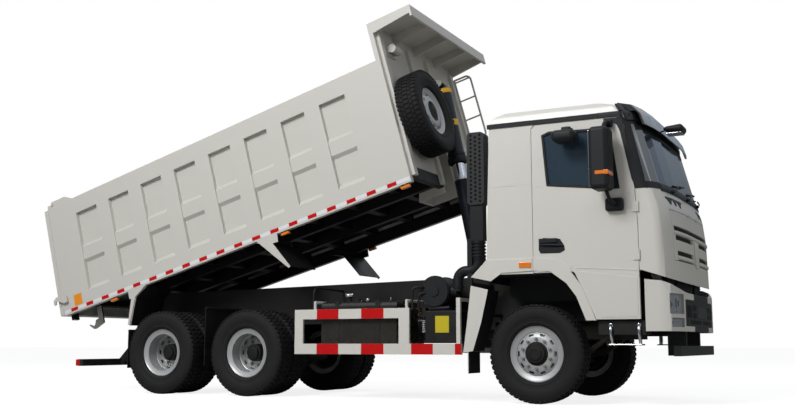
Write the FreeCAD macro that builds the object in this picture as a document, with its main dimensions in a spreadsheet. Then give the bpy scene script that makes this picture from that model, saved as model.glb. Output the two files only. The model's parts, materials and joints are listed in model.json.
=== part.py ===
import FreeCAD, Part
import Sketcher
import math
import os
import re
from FreeCAD import Vector, Rotation, Placement

# Six-wheel-drive-line tipping lorry: cab over the front axle, tandem rear axles, raised load bed
# X runs forward, Y to the lorry's left and Z up, with the floor at Z = 0

doc = FreeCAD.newDocument("dump_truck")
sheet = doc.addObject("Spreadsheet::Sheet", "sizes")

SIZES = [
    # wheels and axles
    ("axle_front_x", 3010), ("wheelbase", 3900), ("tandem", 1400), ("tyre_radius", 556),
    ("tyre_width", 312), ("rim_radius", 313), ("rim_width", 216), ("front_wheel_y", 1048),
    ("rear_wheel_y", 1120), ("dual_spacing", 350), ("kingpin_y", 900), ("disc_thick", 14),
    # frame
    ("rail_y", 430), ("rail_flange", 80), ("rail_plate", 10), ("rail_height", 320),
    ("rail_bottom", 930), ("rail_front_dx", 1400), ("bed_pivot_dx", -6160), ("bed_pivot_z", 1176),
    ("rail_tail", 140), ("subframe_tail_top", 1393), ("subframe_slope", 0.0186),
    # bed
    ("bed_rear_dx", -7115), ("bed_rear_z", 1066), ("bed_tilt", 15.56), ("bed_length", 5800),
    ("bed_width", 2440), ("bed_height", 1650), ("bed_front_height", 2190), ("bed_floor_t", 240),
    ("bed_skin", 12), ("side_depth", 70), ("wall_depth", 60), ("weld_gap", 0.2), ("rib_pitch", 609), ("rib_width", 235),
    ("rib_first", 920), ("rear_post", 520), ("front_post", 600), ("top_rail", 240),
    ("canopy_reach", 570), ("beam_bottom", 76),
    # tailgate
    ("gate_thick", 70), ("gate_gap", 8), ("gate_pivot_s", 80), ("gate_rise", 40),
    # hoist
    ("hoist_foot_dx", -1115), ("hoist_foot_z", 1500), ("hoist_lean", 11.95),
    ("hoist_length", 2671), ("hoist_base_top", 1330), ("hoist_cover_end", 1564),
    ("base_radius", 98), ("cover_radius", 110), ("cover_wall", 6), ("stage_radius", 80),
    ("stage_step", 13), ("stage_gap", 0.5),
    # cab
    ("cab_half", 1250), ("cab_wall", 45), ("cab_bottom", 1450), ("cab_rear_dx", -555),
    ("door_rear_dx", 10), ("door_front_dx", 1205), ("door_gap", 6), ("door_low", 1450),
    ("door_top", 3150), ("skirt_low", 930), ("skirt_thick", 35), ("cab_pivot_dx", 1500),
    ("cab_pivot_z", 1020), ("glass", 6), ("visor_proud", 72), ("visor_sheet", 16),
    # bumper, guards and tank
    ("bumper_half", 1205), ("bumper_low", 800), ("bumper_skin", 30), ("guard_y", 1230),
    ("guard_low", 543), ("guard_bar", 120), ("tank_length", 1060), ("tank_size", 600),
    # suspension, pins and hubs
    ("leaf_eye_z", 870), ("axle_tube", 70), ("spindle", 45), ("stub", 40), ("hub_gap", 0.4), ("pivot_radius", 35),
    ("foot_half", 110), ("foot_pin", 20),
]
ALIASES = [name for name, value in SIZES]
for row, (name, value) in enumerate(SIZES, start=1):
    sheet.set("A%d" % row, name)
    sheet.set("B%d" % row, str(value))
    sheet.setAlias("B%d" % row, name)
doc.recompute()


def bound(text):
    # a size or sum of sizes as an expression on the sheet's cells
    return re.sub(r"[a-z][a-z_]*", lambda m: "sizes." + m.group(0) if m.group(0) in ALIASES else m.group(0),
                  str(text))


def seat(item, x=0, y=0, z=0, axis=None, angle=None):
    # puts an object where named sizes say, turned about an axis by a named angle
    if axis is not None:
        item.Placement = Placement(Vector(), Rotation(Vector(*axis), 10.0))
        item.setExpression("Placement.Rotation.Angle", bound(angle))
    for letter, value in (("x", x), ("y", y), ("z", z)):
        item.setExpression("Placement.Base." + letter, bound(value))
    return item


def block(x, y, z, dx, dy, dz):
    # box from its low corner and its three sizes
    item = doc.addObject("Part::Box", "block")
    for prop, value in (("Length", dx), ("Width", dy), ("Height", dz)):
        item.setExpression(prop, bound(value))
    return seat(item, x, y, z)


def rod(axis, x, y, z, radius, length):
    # round bar from the centre of its first end along +X, +Y or +Z
    item = doc.addObject("Part::Cylinder", "rod")
    item.setExpression("Radius", bound(radius))
    item.setExpression("Height", bound(length))
    if axis == "x":
        item.Placement = Placement(Vector(), Rotation(Vector(0, 1, 0), 90))
    if axis == "y":
        item.Placement = Placement(Vector(), Rotation(Vector(1, 0, 0), -90))
    return seat(item, x, y, z)


def outline(body, plane, points):
    # closed sketch of straight lines whose corners sit at named sizes
    sketch = body.newObject("Sketcher::SketchObject", "outline")
    origin = [f for f in body.Origin.OriginFeatures if f.Role == plane][0]
    sketch.AttachmentSupport = [(origin, "")]
    sketch.MapMode = "FlatFace"
    count = len(points)
    spot = [Vector(100 * math.cos(2 * math.pi * k / count), 100 * math.sin(2 * math.pi * k / count), 0)
            for k in range(count)]
    sketch.addGeometry([Part.LineSegment(spot[k], spot[(k + 1) % count]) for k in range(count)], False)
    rules = []
    for k in range(count):
        rules.append(Sketcher.Constraint("Coincident", k, 2, (k + 1) % count, 1))
    driven = []
    for k, (a, b) in enumerate(points):
        for kind, axis, value, now in (("DistanceX", -2, a, spot[k].x), ("DistanceY", -1, b, spot[k].y)):
            if str(value) == "0":
                rules.append(Sketcher.Constraint("PointOnObject", k, 1, axis))
            else:
                driven.append((len(rules), value))
                rules.append(Sketcher.Constraint(kind, -1, 1, k, 1, now))
    sketch.addConstraint(rules)
    for index, value in driven:
        sketch.setExpression("Constraints[%d]" % index, bound(value))
    return sketch


def plate(plane, points, start, length):
    # flat profile given thickness: XZ grows along +Y, YZ along +X, XY along +Z
    body = doc.addObject("PartDesign::Body", "plate")
    sketch = outline(body, plane + "_Plane", points)
    pad = body.newObject("PartDesign::Pad", "pad")
    pad.Profile = sketch
    pad.setExpression("Length", bound(length))
    pad.Reversed = plane == "XZ"
    letter = {"XZ": "y", "YZ": "x", "XY": "z"}[plane]
    return seat(body, **{letter: start})


def turned(points):
    # profile of radius and Y turned about the Y axis
    body = doc.addObject("PartDesign::Body", "turned")
    sketch = outline(body, "XY_Plane", points)
    turn = body.newObject("PartDesign::Revolution", "turn")
    turn.Profile = sketch
    turn.ReferenceAxis = (sketch, ["V_Axis"])
    turn.Angle = 360
    return body


def joined(items):
    item = doc.addObject("Part::MultiFuse", "joined")
    item.Shapes = items
    item.Refine = True
    return item


def without(base, tools):
    item = doc.addObject("Part::Cut", "without")
    item.Base = base
    item.Tool = tools[0] if len(tools) == 1 else joined(tools)
    item.Refine = True
    return item


def shared(first, second):
    item = doc.addObject("Part::Common", "shared")
    item.Base = first
    item.Tool = second
    item.Refine = True
    return item


def together(items):
    item = doc.addObject("Part::Compound", "together")
    item.Links = items
    return item


def softened(item, radius, along=None):
    # every edge of a piece rounded, or only the edges that run along one direction
    doc.recompute()
    soft = doc.addObject("Part::Fillet", "softened")
    soft.Base = item
    picked = []
    for k, edge in enumerate(item.Shape.Edges):
        way = edge.tangentAt(edge.FirstParameter)
        if along is None or abs(getattr(way, along)) > 0.95:
            picked.append((k + 1, radius, radius))
    soft.Edges = picked
    return soft


def elbow(x, y, z, bend, radius, quarter):
    # a quarter of a bent tube in the XZ plane round a centre, from a starting angle
    item = doc.addObject("Part::Torus", "elbow")
    item.setExpression("Radius1", bound(bend))
    item.setExpression("Radius2", bound(radius))
    item.Angle3 = 90
    item.Placement = Placement(Vector(), Rotation(Vector(0, 1, 0), -quarter) * Rotation(Vector(1, 0, 0), 90))
    return seat(item, x, y, z)


def across(item):
    # the same piece on the other side of the lorry
    twin = doc.addObject("Part::Mirroring", "across")
    twin.Source = item
    twin.Normal = Vector(0, 1, 0)
    return twin


def both(item):
    return together([item, across(item)])


NODES = []


def node(label, item, on_bed=False, on_hoist=False):
    # a finished piece under its own name, on the frame, the tilted bed or the leaning hoist
    if on_bed:
        seat(item, "axle_front_x + bed_rear_dx", 0, "bed_rear_z", (0, -1, 0), "bed_tilt")
    if on_hoist:
        seat(item, "axle_front_x + hoist_foot_dx", 0, "hoist_foot_z", (0, -1, 0), "hoist_lean")
    item.Label = label
    NODES.append(item)
    return item


F = "axle_front_x"
MID = "axle_front_x - wheelbase"
REAR = "axle_front_x - wheelbase - tandem"
PIVOT = "axle_front_x + bed_pivot_dx"

# Frame: two pressed channels tied by cross members, with the bed's pivot shaft and the cab's front pins
channel = [("rail_y", 0), ("rail_y", "rail_height"), ("rail_y - rail_flange", "rail_height"),
           ("rail_y - rail_flange", "rail_height - rail_plate"), ("rail_y - rail_plate", "rail_height - rail_plate"),
           ("rail_y - rail_plate", "rail_plate"), ("rail_y - rail_flange", "rail_plate"), ("rail_y - rail_flange", 0)]
rail = plate("YZ", channel, 0, "rail_front_dx - bed_pivot_dx + rail_tail")
seat(rail, PIVOT + " - rail_tail", 0, "rail_bottom")
rail = without(rail, [rod("y", PIVOT, "rail_y - 100", "bed_pivot_z", "pivot_radius", 200)])
ties = []
for place in (PIVOT + " + 60", REAR + " + 300", REAR + " + 640", MID + " + 420",
              F + " - 2600", F + " - 1500", F + " + rail_front_dx - 130"):
    ties.append(block(place, "rail_plate - rail_y", "rail_bottom + 40", 120, "2*(rail_y - rail_plate)", "rail_height - 80"))
shaft = rod("y", PIVOT, -532, "bed_pivot_z", "pivot_radius", 1064)
spacer = rod("y", PIVOT, "rail_y", "bed_pivot_z", 60, 24)
cap = rod("y", PIVOT, 508, "bed_pivot_z", 60, 24)
tilt_pin = joined([rod("y", F + " + cab_pivot_dx", "rail_y - 30", "cab_pivot_z", 25, 150),
                   block(F + " + rail_front_dx", "rail_y - 30", "cab_pivot_z - 40",
                         "cab_pivot_dx - rail_front_dx + 30", 60, 80)])
node("chassis_frame", joined([rail, across(rail), shaft, spacer, across(spacer), cap, across(cap), tilt_pin,
                              across(tilt_pin)] + ties))

# Subframe on the rails: two tapered beams, their ties and the hoist's foot bracket with its pin
DECK = "rail_bottom + rail_height"
FOOT = F + " + hoist_foot_dx"
NOSE = FOOT + " + 270"
beam = plate("XZ", [(PIVOT + " - 100", DECK), (NOSE, DECK),
                    (NOSE, "subframe_tail_top + subframe_slope*(hoist_foot_dx + 270 - bed_pivot_dx)"),
                    (PIVOT + " - 20", "subframe_tail_top"), (PIVOT + " - 100", DECK + " + 50")],
             "rail_y - rail_flange", "rail_flange")
crosswise = []
for place, wide, tall in ((FOOT + " - 110", 220, 130), (PIVOT + " + 300", 90, 110), (F + " - 3300", 90, 110),
                          (F + " - 2100", 90, 110)):
    crosswise.append(block(place, "rail_flange - rail_y", DECK, wide, "2*(rail_y - rail_flange)", tall))
cheek = plate("XZ", [(FOOT + " - 100", DECK + " + 130"), (FOOT + " + 100", DECK + " + 130"),
                     (FOOT + " + 45", "hoist_foot_z + 50"), (FOOT + " - 45", "hoist_foot_z + 50")],
              "foot_half + 5", 25)
foot_pin = rod("y", FOOT, "-foot_half - 40", "hoist_foot_z", "foot_pin", "2*foot_half + 80")
node("subframe", joined([beam, across(beam), cheek, across(cheek), foot_pin] + crosswise))

# Front axle: forged beam dropped under the engine, with an eye and king pin at each end
KING = "kingpin_y - 10"
axle_beam = plate("YZ", [(-840, 546), (-700, 536), (-560, 466), (560, 466), (700, 536), (840, 546),
                         (840, 476), (725, 476), (690, 426), (540, 356), (-540, 356), (-690, 426), (-725, 476),
                         (-840, 476)], F + " - 50", 100)
eye = rod("z", F, KING, 471, 62, 170)
reach = block(F + " - 50", 780, 476, 100, 60, 110)
king_pin = rod("z", F, KING, 425, 24, 260)
node("front_axle", joined([axle_beam, eye, across(eye), reach, across(reach), king_pin, across(king_pin)]))

# Front springs: leaf packs on the axle, hung from the rails
leaves = plate("XZ", [(F + " - 820", "leaf_eye_z + 26"), (F + " - 380", 616), (F, 546), (F + " + 380", 616),
                      (F + " + 820", "leaf_eye_z + 26"), (F + " + 820", "leaf_eye_z"), (F + " + 380", 546),
                      (F, 466), (F + " - 380", 546), (F + " - 820", "leaf_eye_z")], "rail_y - 85", 85)
hangers = [block(F + step + " - 45", "rail_y - 85", "leaf_eye_z - 30", 90, 85, "rail_bottom - leaf_eye_z + 30")
           for step in (" - 820", " + 820")]
node("front_springs", both(joined([leaves] + hangers)))

# Steering knuckles: fork on the king pin, stub axle and steering arm
fork = [block(F + " - 55", KING + " - 55", 644, 110, 148, 34), block(F + " - 55", KING + " - 55", 434, 110, 148, 34),
        block(F + " - 55", KING + " + 66", 434, 110, 27, 244)]
stub = rod("y", F, KING + " + 90", "tyre_radius", "stub", 155)
arm = plate("XY", [(F + " - 55", KING + " - 50"), (F + " - 55", KING + " + 30"), (F + " - 230", KING + " - 75"),
                   (F + " - 250", KING + " - 105"), (F + " - 225", KING + " - 125")], 436, 28)
ball = rod("z", F + " - 228", KING + " - 100", 428, 22, 44)
knuckle = without(joined(fork + [stub, arm, ball]), [rod("z", F, KING, 400, 24.4, 320)])
node("steering_knuckle_left", knuckle)
node("steering_knuckle_right", across(knuckle))
node("tie_rod", rod("y", F + " - 228", "88 - kingpin_y", 411.7, 16, "2*(kingpin_y - 88)"))

# Rear axles: tubular housings with a round final-drive casing and a spindle at each end
axles = []
for spot in (MID, REAR):
    tube = rod("y", spot, -690, "tyre_radius", "axle_tube", 1380)
    spindle = rod("y", spot, -1085, "tyre_radius", "spindle", 2170)
    bowl = rod("x", spot + " - 130", 0, "tyre_radius", 205, 260)
    nose = doc.addObject("Part::Cone", "nose")
    nose.Radius1 = 190
    nose.Radius2 = 90
    nose.Height = 300
    nose.Placement = Placement(Vector(), Rotation(Vector(0, 1, 0), 90))
    seat(nose, spot + " + 130", 0, "tyre_radius")
    pads = []
    for sign in ("", "-"):
        low = "500 - 45" if sign == "" else "-500 - 45"
        pads.append(block(spot + " - 70", low, "tyre_radius + 50", 140, 90, 50))
        low = "rail_y - 50" if sign == "" else "-rail_y"
        pads.append(block(spot + " - 75", low, "tyre_radius - 100", 150, 50, 90))
    axles.append(joined([tube, spindle, bowl, nose] + pads))
node("rear_axles", together(axles))

# Tandem suspension: a leaf pack each side across both axles on a trunnion below the rail
TRUN = MID + " - tandem/2"
pack = plate("XZ", [(MID + " + 110", 656), (TRUN + " + 200", 700), (TRUN + " - 200", 700), (REAR + " - 110", 656),
                    (REAR + " - 110", 690), (TRUN + " - 160", 830), (TRUN + " + 160", 830), (MID + " + 110", 690)],
             455, 90)
saddle = block(TRUN + " - 150", 455, 620, 300, 90, 80)
trunnion = rod("y", TRUN, 380, 600, 55, 165)
hanger = plate("XZ", [(TRUN + " - 260", "rail_bottom"), (TRUN + " + 260", "rail_bottom"), (TRUN + " + 100", 540),
                      (TRUN + " + 100", 470), (TRUN + " - 100", 470), (TRUN + " - 100", 540)], "rail_y - 50", 50)
links = [rod("x", TRUN + " + 100", "rail_y - 25", 505, 24, "tandem/2 - 175"),
         rod("x", REAR + " + 75", "rail_y - 25", 505, 24, "tandem/2 - 175")]
node("rear_suspension", both(joined([pack, saddle, trunnion, hanger] + links)))

# Engine, gearbox and radiator as plain blocks between the rails, with mounts to the rail webs
engine = block(F + " - 850", -330, 720, 1750, 660, 690)
gearbox = block(F + " - 1360", -220, 720, 510, 440, 420)
mounts = [block(F + step, side, 1010, 120, 95, 60) for step in (" - 700", " + 600") for side in (325, "-420")]
radiator = joined([block(F + " + 1000", -340, 960, 120, 680, 470), block(F + " + 1030", -420, 1000, 60, 840, 60)])
node("powertrain", together([joined([engine, gearbox] + mounts), radiator]))

# Propeller shafts with their hanging centre bearing
front_shaft = rod("x", F + " - 2600", 0, 850, 45, 1240)
bearing = block(F + " - 2620", -70, 800, 80, 140, "rail_bottom + 40 - 800")
drop = rod("x", 0, 0, 0, 45, 860)
drop.Placement = Placement(Vector(), Rotation(Vector(0, 1, 0), 270 - 17.0))
seat(drop, F + " - 2600", 0, 850)
between = rod("x", REAR + " + 430", 0, "tyre_radius", 40, "tandem - 560")
node("propeller_shafts", together([joined([front_shaft, bearing, drop]), between]))

# Fuel tank on the right with two straps, its filler cap and its brackets to the rail
TANK = F + " - 2820"
tank = block(TANK, -1160, 590, "tank_length", "tank_size", "tank_size")
tank_round = softened(tank, 70, "x")
straps = []
for step in (200, 770):
    band = without(block(TANK + " + %d" % step, -1166, 584, 60, 612, 612),
                   [block(TANK + " + %d" % (step - 5), -1130, 620, 70, 540, 540)])
    straps.append(band)
    straps.append(block(TANK + " + %d" % step, -556, 620, 60, "556 - rail_y", 480))
filler = rod("z", TANK + " + 370", -900, 1180, 45, 50)
node("fuel_tank", joined([tank_round, filler] + straps))

# Left side: battery box, silencer and two air reservoirs with brackets to the rail
boxes = joined([block(F + " - 2300", 560, 680, 520, 540, 420), block(F + " - 2250", "rail_y", 950, 400, "560 - rail_y", 120)])
silencer = joined([block(F + " - 1650", 520, 620, 620, 560, 520), block(F + " - 1500", "rail_y", 950, 300, "520 - rail_y", 120)])
tanks = joined([rod("x", F + " - 3150", 800, 1000, 130, 760), rod("x", F + " - 3150", 800, 715, 130, 760),
                block(F + " - 3000", "rail_y", 960, 60, "800 - rail_y", 60), block(F + " - 2600", "rail_y", 960, 60, "800 - rail_y", 60),
                block(F + " - 3000", 780, 700, 60, 40, 300), block(F + " - 2600", 780, 700, 60, 40, 300)])
node("left_boxes", together([boxes, silencer, tanks]))

# Side guards: white frames with a long lower rail, on bent tube arms from the rails
guard_low = block(F + " - 3169", "-guard_y", "guard_low", 2285, 30, 128)
guard_top = block(F + " - 3169", "-guard_y", "guard_low + 431", 1609, 30, "guard_bar")
guard_posts = [block(F + " - 3169", "-guard_y", "guard_low", 120, 30, 551),
               block(F + " - 1699", "-guard_y", "guard_low", 139, 30, 551)]
arms = []
for step in (" - 2880", " - 1600"):
    arms.append(rod("y", F + step, "20 - guard_y", "rail_bottom + 250", 18, "guard_y - 20 - rail_y"))
    arms.append(rod("z", F + step, "20 - guard_y", "guard_low + 500", 18, "rail_bottom + 250 - guard_low - 500 + 12"))
tail_arm = [block(F + " - 960", "30 - guard_y", "guard_low + 20", 50, 40, 640),
            block(F + " - 960", "30 - guard_y", "guard_low + 620", 50, "guard_y - 30 - rail_y", 40)]
node("side_guards", both(joined([guard_low, guard_top] + guard_posts + arms + tail_arm)))

# Air cleaner drum, its duct and the tall perforated intake behind the cab
DRUM_X = F + " - 1300"
drum = joined([rod("y", DRUM_X, -1080, 1290, 180, 440), rod("y", DRUM_X, -1060, 1290, 190, 30),
               rod("y", DRUM_X, -760, 1290, 190, 30), rod("y", DRUM_X, -1092, 1290, 60, 20)])
drum_arm = block(F + " - 1360", -640, 1120, 120, "640 - rail_y", 100)
grille_box = softened(block(F + " - 880", -1030, 2310, 218, 160, 880), 50, "y")
column = block(F + " - 850", -1010, 1880, 160, 120, 470)
bellows = [rod("z", F + " - 770", -950, 1660, 74, 230)]
bellows += [rod("z", F + " - 770", -950, 1690 + 40 * k, 88, 20) for k in range(5)]
pipe = [rod("z", F + " - 770", -950, 1640, 62, 60), elbow(F + " - 880", -950, 1640, 110, 62, -90),
        rod("x", F + " - 930", -950, 1530, 62, 50), elbow(F + " - 930", -950, 1420, 110, 62, 90),
        rod("z", F + " - 1040", -950, 1290, 62, 130), rod("z", F + " - 1040", -950, 1330, 70, 24),
        rod("x", F + " - 1200", -950, 1290, 62, 160), rod("x", F + " - 1112", -950, 1290, 70, 30)]
strut = [block(F + " - 900", -1000, 1330, 60, "1000 - rail_y", 60), block(F + " - 900", -1000, 1330, 60, 40, 570),
         block(F + " - 900", -1000, 1880, 90, 40, 30)]
node("air_intake", joined([drum, drum_arm, column, grille_box] + bellows + pipe + strut))

# Rear halves of the front mudguards with rubber flaps
guard_side = plate("XZ", [(F + " - 754", 1335), (F + " - 539", 1282), (F + " - 625", 920), (F + " - 733", 585),
                          (F + " - 856", 566), (F + " - 800", 960)], -1245, 30)
guard_skin = plate("XZ", [(F + " - 560", 1282), (F + " - 539", 1282), (F + " - 625", 920), (F + " - 733", 585),
                          (F + " - 758", 585), (F + " - 650", 930)], -1215, 315)
flap = block(F + " - 800", -1245, 330, 12, 345, 250)
flap_arm = rod("y", F + " - 700", -1215, 1010, 22, "1215 - rail_y")
fender = joined([guard_side, guard_skin, flap, flap_arm])
node("front_mudguards", both(fender))

# Rear underrun bar on two dropped arms from the rail tails
bar = block(F + " - 6850", -1200, 360, 100, 2400, 95)
drop_arm = plate("XZ", [(PIVOT + " - rail_tail", "rail_bottom"), (PIVOT + " - rail_tail + 160", "rail_bottom"),
                        (F + " - 6750", 360), (F + " - 6850", 360), (F + " - 6850", 455), (F + " - 6780", 455)],
                 "rail_y - 60", 60)
tail_lamp = softened(block(F + " - 6885", 640, 367, 45, 400, 82), 12, "x")
node("rear_underrun", joined([bar, drop_arm, across(drop_arm), tail_lamp, across(tail_lamp)]))

# Rear mud flaps: rubber sheets on brackets from the rails, behind each rear axle
flaps = []
for spot, top, bottom in ((REAR + " - 620", 850, 340), (TRUN, 1140, 380)):
    sheet_low = block(spot, -1210, bottom, 10, 660, top - bottom)
    sheet_arm = [rod("y", spot + " + 5", -1200, top, 18, "1200 - rail_y")]
    if top < 930:
        sheet_arm.append(block(spot + " - 15", "-rail_y", top - 25, 40, 60, "rail_bottom - %d" % (top - 25)))
    flaps.append(joined([sheet_low] + sheet_arm))
node("rear_mud_flaps", both(together(flaps)))

# Front bumper: one curved skin, lower towards the middle, with pockets for lamps and the centre insert
skin_out = [(1240, "-bumper_half"), (1400, "-bumper_half"), (1500, "60 - bumper_half"), (1565, "230 - bumper_half"),
            (1598, "520 - bumper_half"), (1612, "900 - bumper_half"), (1612, "bumper_half - 900"),
            (1598, "bumper_half - 520"), (1565, "bumper_half - 230"), (1500, "bumper_half - 60"), (1400, "bumper_half"),
            (1240, "bumper_half"), (1240, "bumper_half - bumper_skin"), (1392, "bumper_half - bumper_skin"),
            (1478, "bumper_half - 60 - bumper_skin"), (1537, "bumper_half - 250"), (1568, "bumper_half - 530"),
            (1582, "bumper_half - 910"), (1582, "910 - bumper_half"), (1568, "530 - bumper_half"),
            (1537, "250 - bumper_half"), (1478, "60 - bumper_half + bumper_skin"), (1392, "bumper_skin - bumper_half"),
            (1240, "bumper_skin - bumper_half")]
skin = plate("XY", [(F + " + rail_front_dx + %d" % (a - 1400), b) for a, b in skin_out], "bumper_low", 560)
over = plate("XZ", [(F + " + 1200", 1361), (F + " + 1420", 1335), (F + " + 1500", 1303), (F + " + 1545", 1262),
                    (F + " + 1575", 1222), (F + " + 1700", 1196), (F + " + 1700", 1500), (F + " + 1200", 1500)],
             -1400, 2800)
LAMPS = [(-1150, 985, 215), (-1130, 846, 96)]
holes = [block(F + " + 1400", y, z, 300, -850 - y, tall) for y, z, tall in LAMPS]
recess = [block(F + " + 1300", -800, 858, 400, 1600, 290), block(F + " + 1300", -430, 700, 400, 860, 700)]
shell = without(skin, [over, joined(recess)] + holes + [across(hole) for hole in holes])
hanger = joined([block(F + " + cab_pivot_dx + 30", "rail_y - 30", "cab_pivot_z - 20", 18, 60, 130),
                 block(F + " + cab_pivot_dx + 30", "rail_y - 30", "cab_pivot_z + 60", 18, 450, 50),
                 block(F + " + cab_pivot_dx + 48", 806, "cab_pivot_z + 60", 12, 44, 50)])
node("front_bumper", together([joined([shell, hanger, across(hanger)])]))
lenses = [shared(skin, block(F + " + 1400", y + 0.3, z + 0.3, 300, -850.6 - y, tall - 0.6)) for y, z, tall in LAMPS]
node("headlamps", both(together(lenses)))
middle_skin = without(skin, [over])
insert = shared(middle_skin, joined([block(F + " + 1300", -797, 861, 400, 1594, 284),
                                     block(F + " + 1300", -427, 700, 400, 854, 700)]))
brackets = [block(F + " + rail_front_dx - 10", low, "rail_bottom + 60", 192, 60, 180) for low in ("rail_y - 100", "40 - rail_y")]
low_bar = block(F + " + 1480", -1000, 535, 80, 2000, 110)
low_arms = [block(F + " + rail_front_dx - 100", low, 535, 205, 60, "rail_bottom - 535")
            for low in ("rail_y - 60", "-rail_y")]
stays = [block(F + " + rail_front_dx", low, 870, 185, 60, 60) for low in ("rail_y - 60", "-rail_y")]
node("bumper_insert", joined([insert, low_bar] + brackets + low_arms + stays))

# Entry steps under each door: black box, chrome legs and tread
step_box = block(F + " + 725", -1200, 765, 510, 270, 150)
step_arm = block(F + " + 900", -940, 860, 120, "940 - rail_y", 60)
step_up = block(F + " + 900", "-rail_y - 60", 860, 120, 60, 140)
step_tread = block(F + " + 844", -1200, 651, 355, 120, 14)
step_legs = [block(F + " + 860", -1150, 665, 16, 16, 100), block(F + " + 1165", -1150, 665, 16, 16, 100)]
node("entry_steps", both(joined([step_box, step_arm, step_up, step_tread] + step_legs)))

# Wheels: one profile of radius and width for each tyre and rim
tyre_profile = [(262.3, "-rim_width/2 + 27.4"), (300, "-rim_width/2 + 15.6"), ("rim_radius + 1", "-rim_width/2 + 11"),
                ("rim_radius + 2", "-rim_width/2 - 14"), (400, "-tyre_width/2 + 8"), (450, "-tyre_width/2"),
                (505, "-tyre_width/2 + 6"), ("tyre_radius - 16", "-tyre_width/2 + 26"), ("tyre_radius", "-tyre_width/2 + 48"),
                ("tyre_radius", "tyre_width/2 - 48"), ("tyre_radius - 16", "tyre_width/2 - 26"), (505, "tyre_width/2 - 6"),
                (450, "tyre_width/2"), (400, "tyre_width/2 - 8"), ("rim_radius + 2", "rim_width/2 + 14"),
                ("rim_radius + 1", "rim_width/2 - 11"), (300, "rim_width/2 - 15.6"), (262.3, "rim_width/2 - 27.4")]
band_profile = [("rim_radius", "rim_width/2"), ("rim_radius", "rim_width/2 - 11"), (262, "rim_width/2 - 27"),
                (262, "27 - rim_width/2"), ("rim_radius", "11 - rim_width/2"), ("rim_radius", "-rim_width/2"),
                (300, "-rim_width/2"), (246, "20 - rim_width/2"), (246, "rim_width/2 - 20"), (300, "rim_width/2")]


def tyre_at(x, y):
    item = turned(tyre_profile)
    return seat(item, x, y, "tyre_radius")


def wheel_part(points, x, y):
    return seat(turned(points), x, y, "tyre_radius")


# Front wheels: dished disc, hub on the stub axle, closed cap and brake drum
front_disc = [(246, 62), (246, 78), (200, 98), (150, 108), (90, 108), (90, 150), (60, 162), (0, 162), (0, 100),
              ("stub + hub_gap", 100), ("stub + hub_gap", -45), (90, -45), (90, 20), (190, 20), (190, -85), (205, -85), (205, 34), (90, 34), (90, 92),
              (145, 92), (195, 84)]
front_tyre = tyre_at(F, "front_wheel_y")
node("front_tyre_left", front_tyre)
node("front_tyre_right", across(front_tyre))
front_rim = joined([wheel_part(band_profile, F, "front_wheel_y"), wheel_part(front_disc, F, "front_wheel_y")])
node("front_rim_left", front_rim)
node("front_rim_right", across(front_rim))

# Rear wheels: twin tyres, deep outer dish, hub barrel with cap, brake drum
DUAL = "rear_wheel_y - dual_spacing/2"
rear_disc = [(246, 84), (246, 100), (232, 96), (185, 14), (110, 14), (110, 130), (85, 165), (0, 165), (0, 146),
             ("spindle + hub_gap", 146), ("spindle + hub_gap", -150), (110, -150), (110, -46), (190, -46), (190, -225),
             (203, -225), (203, -40), (234, -96), (246, -100), (246, -84), (196, 0)]
for tag, spot in (("mid", MID), ("rear", REAR)):
    tyres = together([tyre_at(spot, "rear_wheel_y"), tyre_at(spot, "rear_wheel_y - dual_spacing")])
    rims = joined([wheel_part(band_profile, spot, "rear_wheel_y"),
                   wheel_part(band_profile, spot, "rear_wheel_y - dual_spacing"),
                   wheel_part(rear_disc, spot, DUAL)])
    node(tag + "_tyres_left", tyres)
    node(tag + "_tyres_right", across(tyres))
    node(tag + "_rims_left", rims)
    node(tag + "_rims_right", across(rims))


# Cab: one lofted outer form and one inside it by the wall's thickness
def cab_section(body, z, front, half_width, rear, inset):
    a = F + " + %d - %s" % (front, inset)
    b = "%d - %s" % (half_width, inset)
    r = F + " + %d + %s" % (rear, inset)
    bends = [(215, 0), (165, 16), (118, 56), (68, 170), (28, 400), (5, 800)]
    near = [(a + " - %d" % back, "-(%s) + %d" % (b, side)) for back, side in bends]
    far = [(a + " - %d" % back, "%s - %d" % (b, side)) for back, side in reversed(bends)]
    pts = [(r, "-(" + b + ")")] + near + far + [(r, b)]
    sketch = outline(body, "XY_Plane", pts)
    sketch.setExpression("AttachmentOffset.Base.z", bound(z))
    return sketch


def cab_form(sections, inset):
    body = doc.addObject("PartDesign::Body", "cab_form")
    sketches = [cab_section(body, z, front, wide, rear, inset) for z, front, wide, rear in sections]
    loft = body.newObject("PartDesign::AdditiveLoft", "loft")
    loft.Profile = sketches[0]
    loft.Sections = sketches[1:]
    loft.Ruled = True
    return body


FORM = [(1300, 1588, 1250, -555), (1900, 1572, 1250, -545), (2160, 1540, 1250, -535), (2340, 1480, 1250, -530),
        (3030, 1300, 1250, -508), (3180, 1250, 1250, -503), (3290, 1160, 1215, -450), (3350, 950, 1130, -330),
        (3380, 700, 1000, -150)]
ROOM = [("cab_bottom + 55", 1588, 1250, -555), (1900, 1572, 1250, -545), (2160, 1540, 1250, -535),
        (2340, 1480, 1250, -530), (3030, 1300, 1250, -508), (3150, 1250, 1240, -503), (3250, 1140, 1190, -430),
        (3320, 850, 1060, -300)]
form = cab_form(FORM, "0")
room = cab_form(ROOM, "cab_wall")
under = plate("XZ", [(F + " - 700", "cab_bottom"), (F + " + 1230", "cab_bottom"), (F + " + 1460", 1372),
                     (F + " + 1650", 1305), (F + " + 1650", 1200), (F + " - 700", 1200)], -1300, 2600)
rough = without(form, [room, under])

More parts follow.
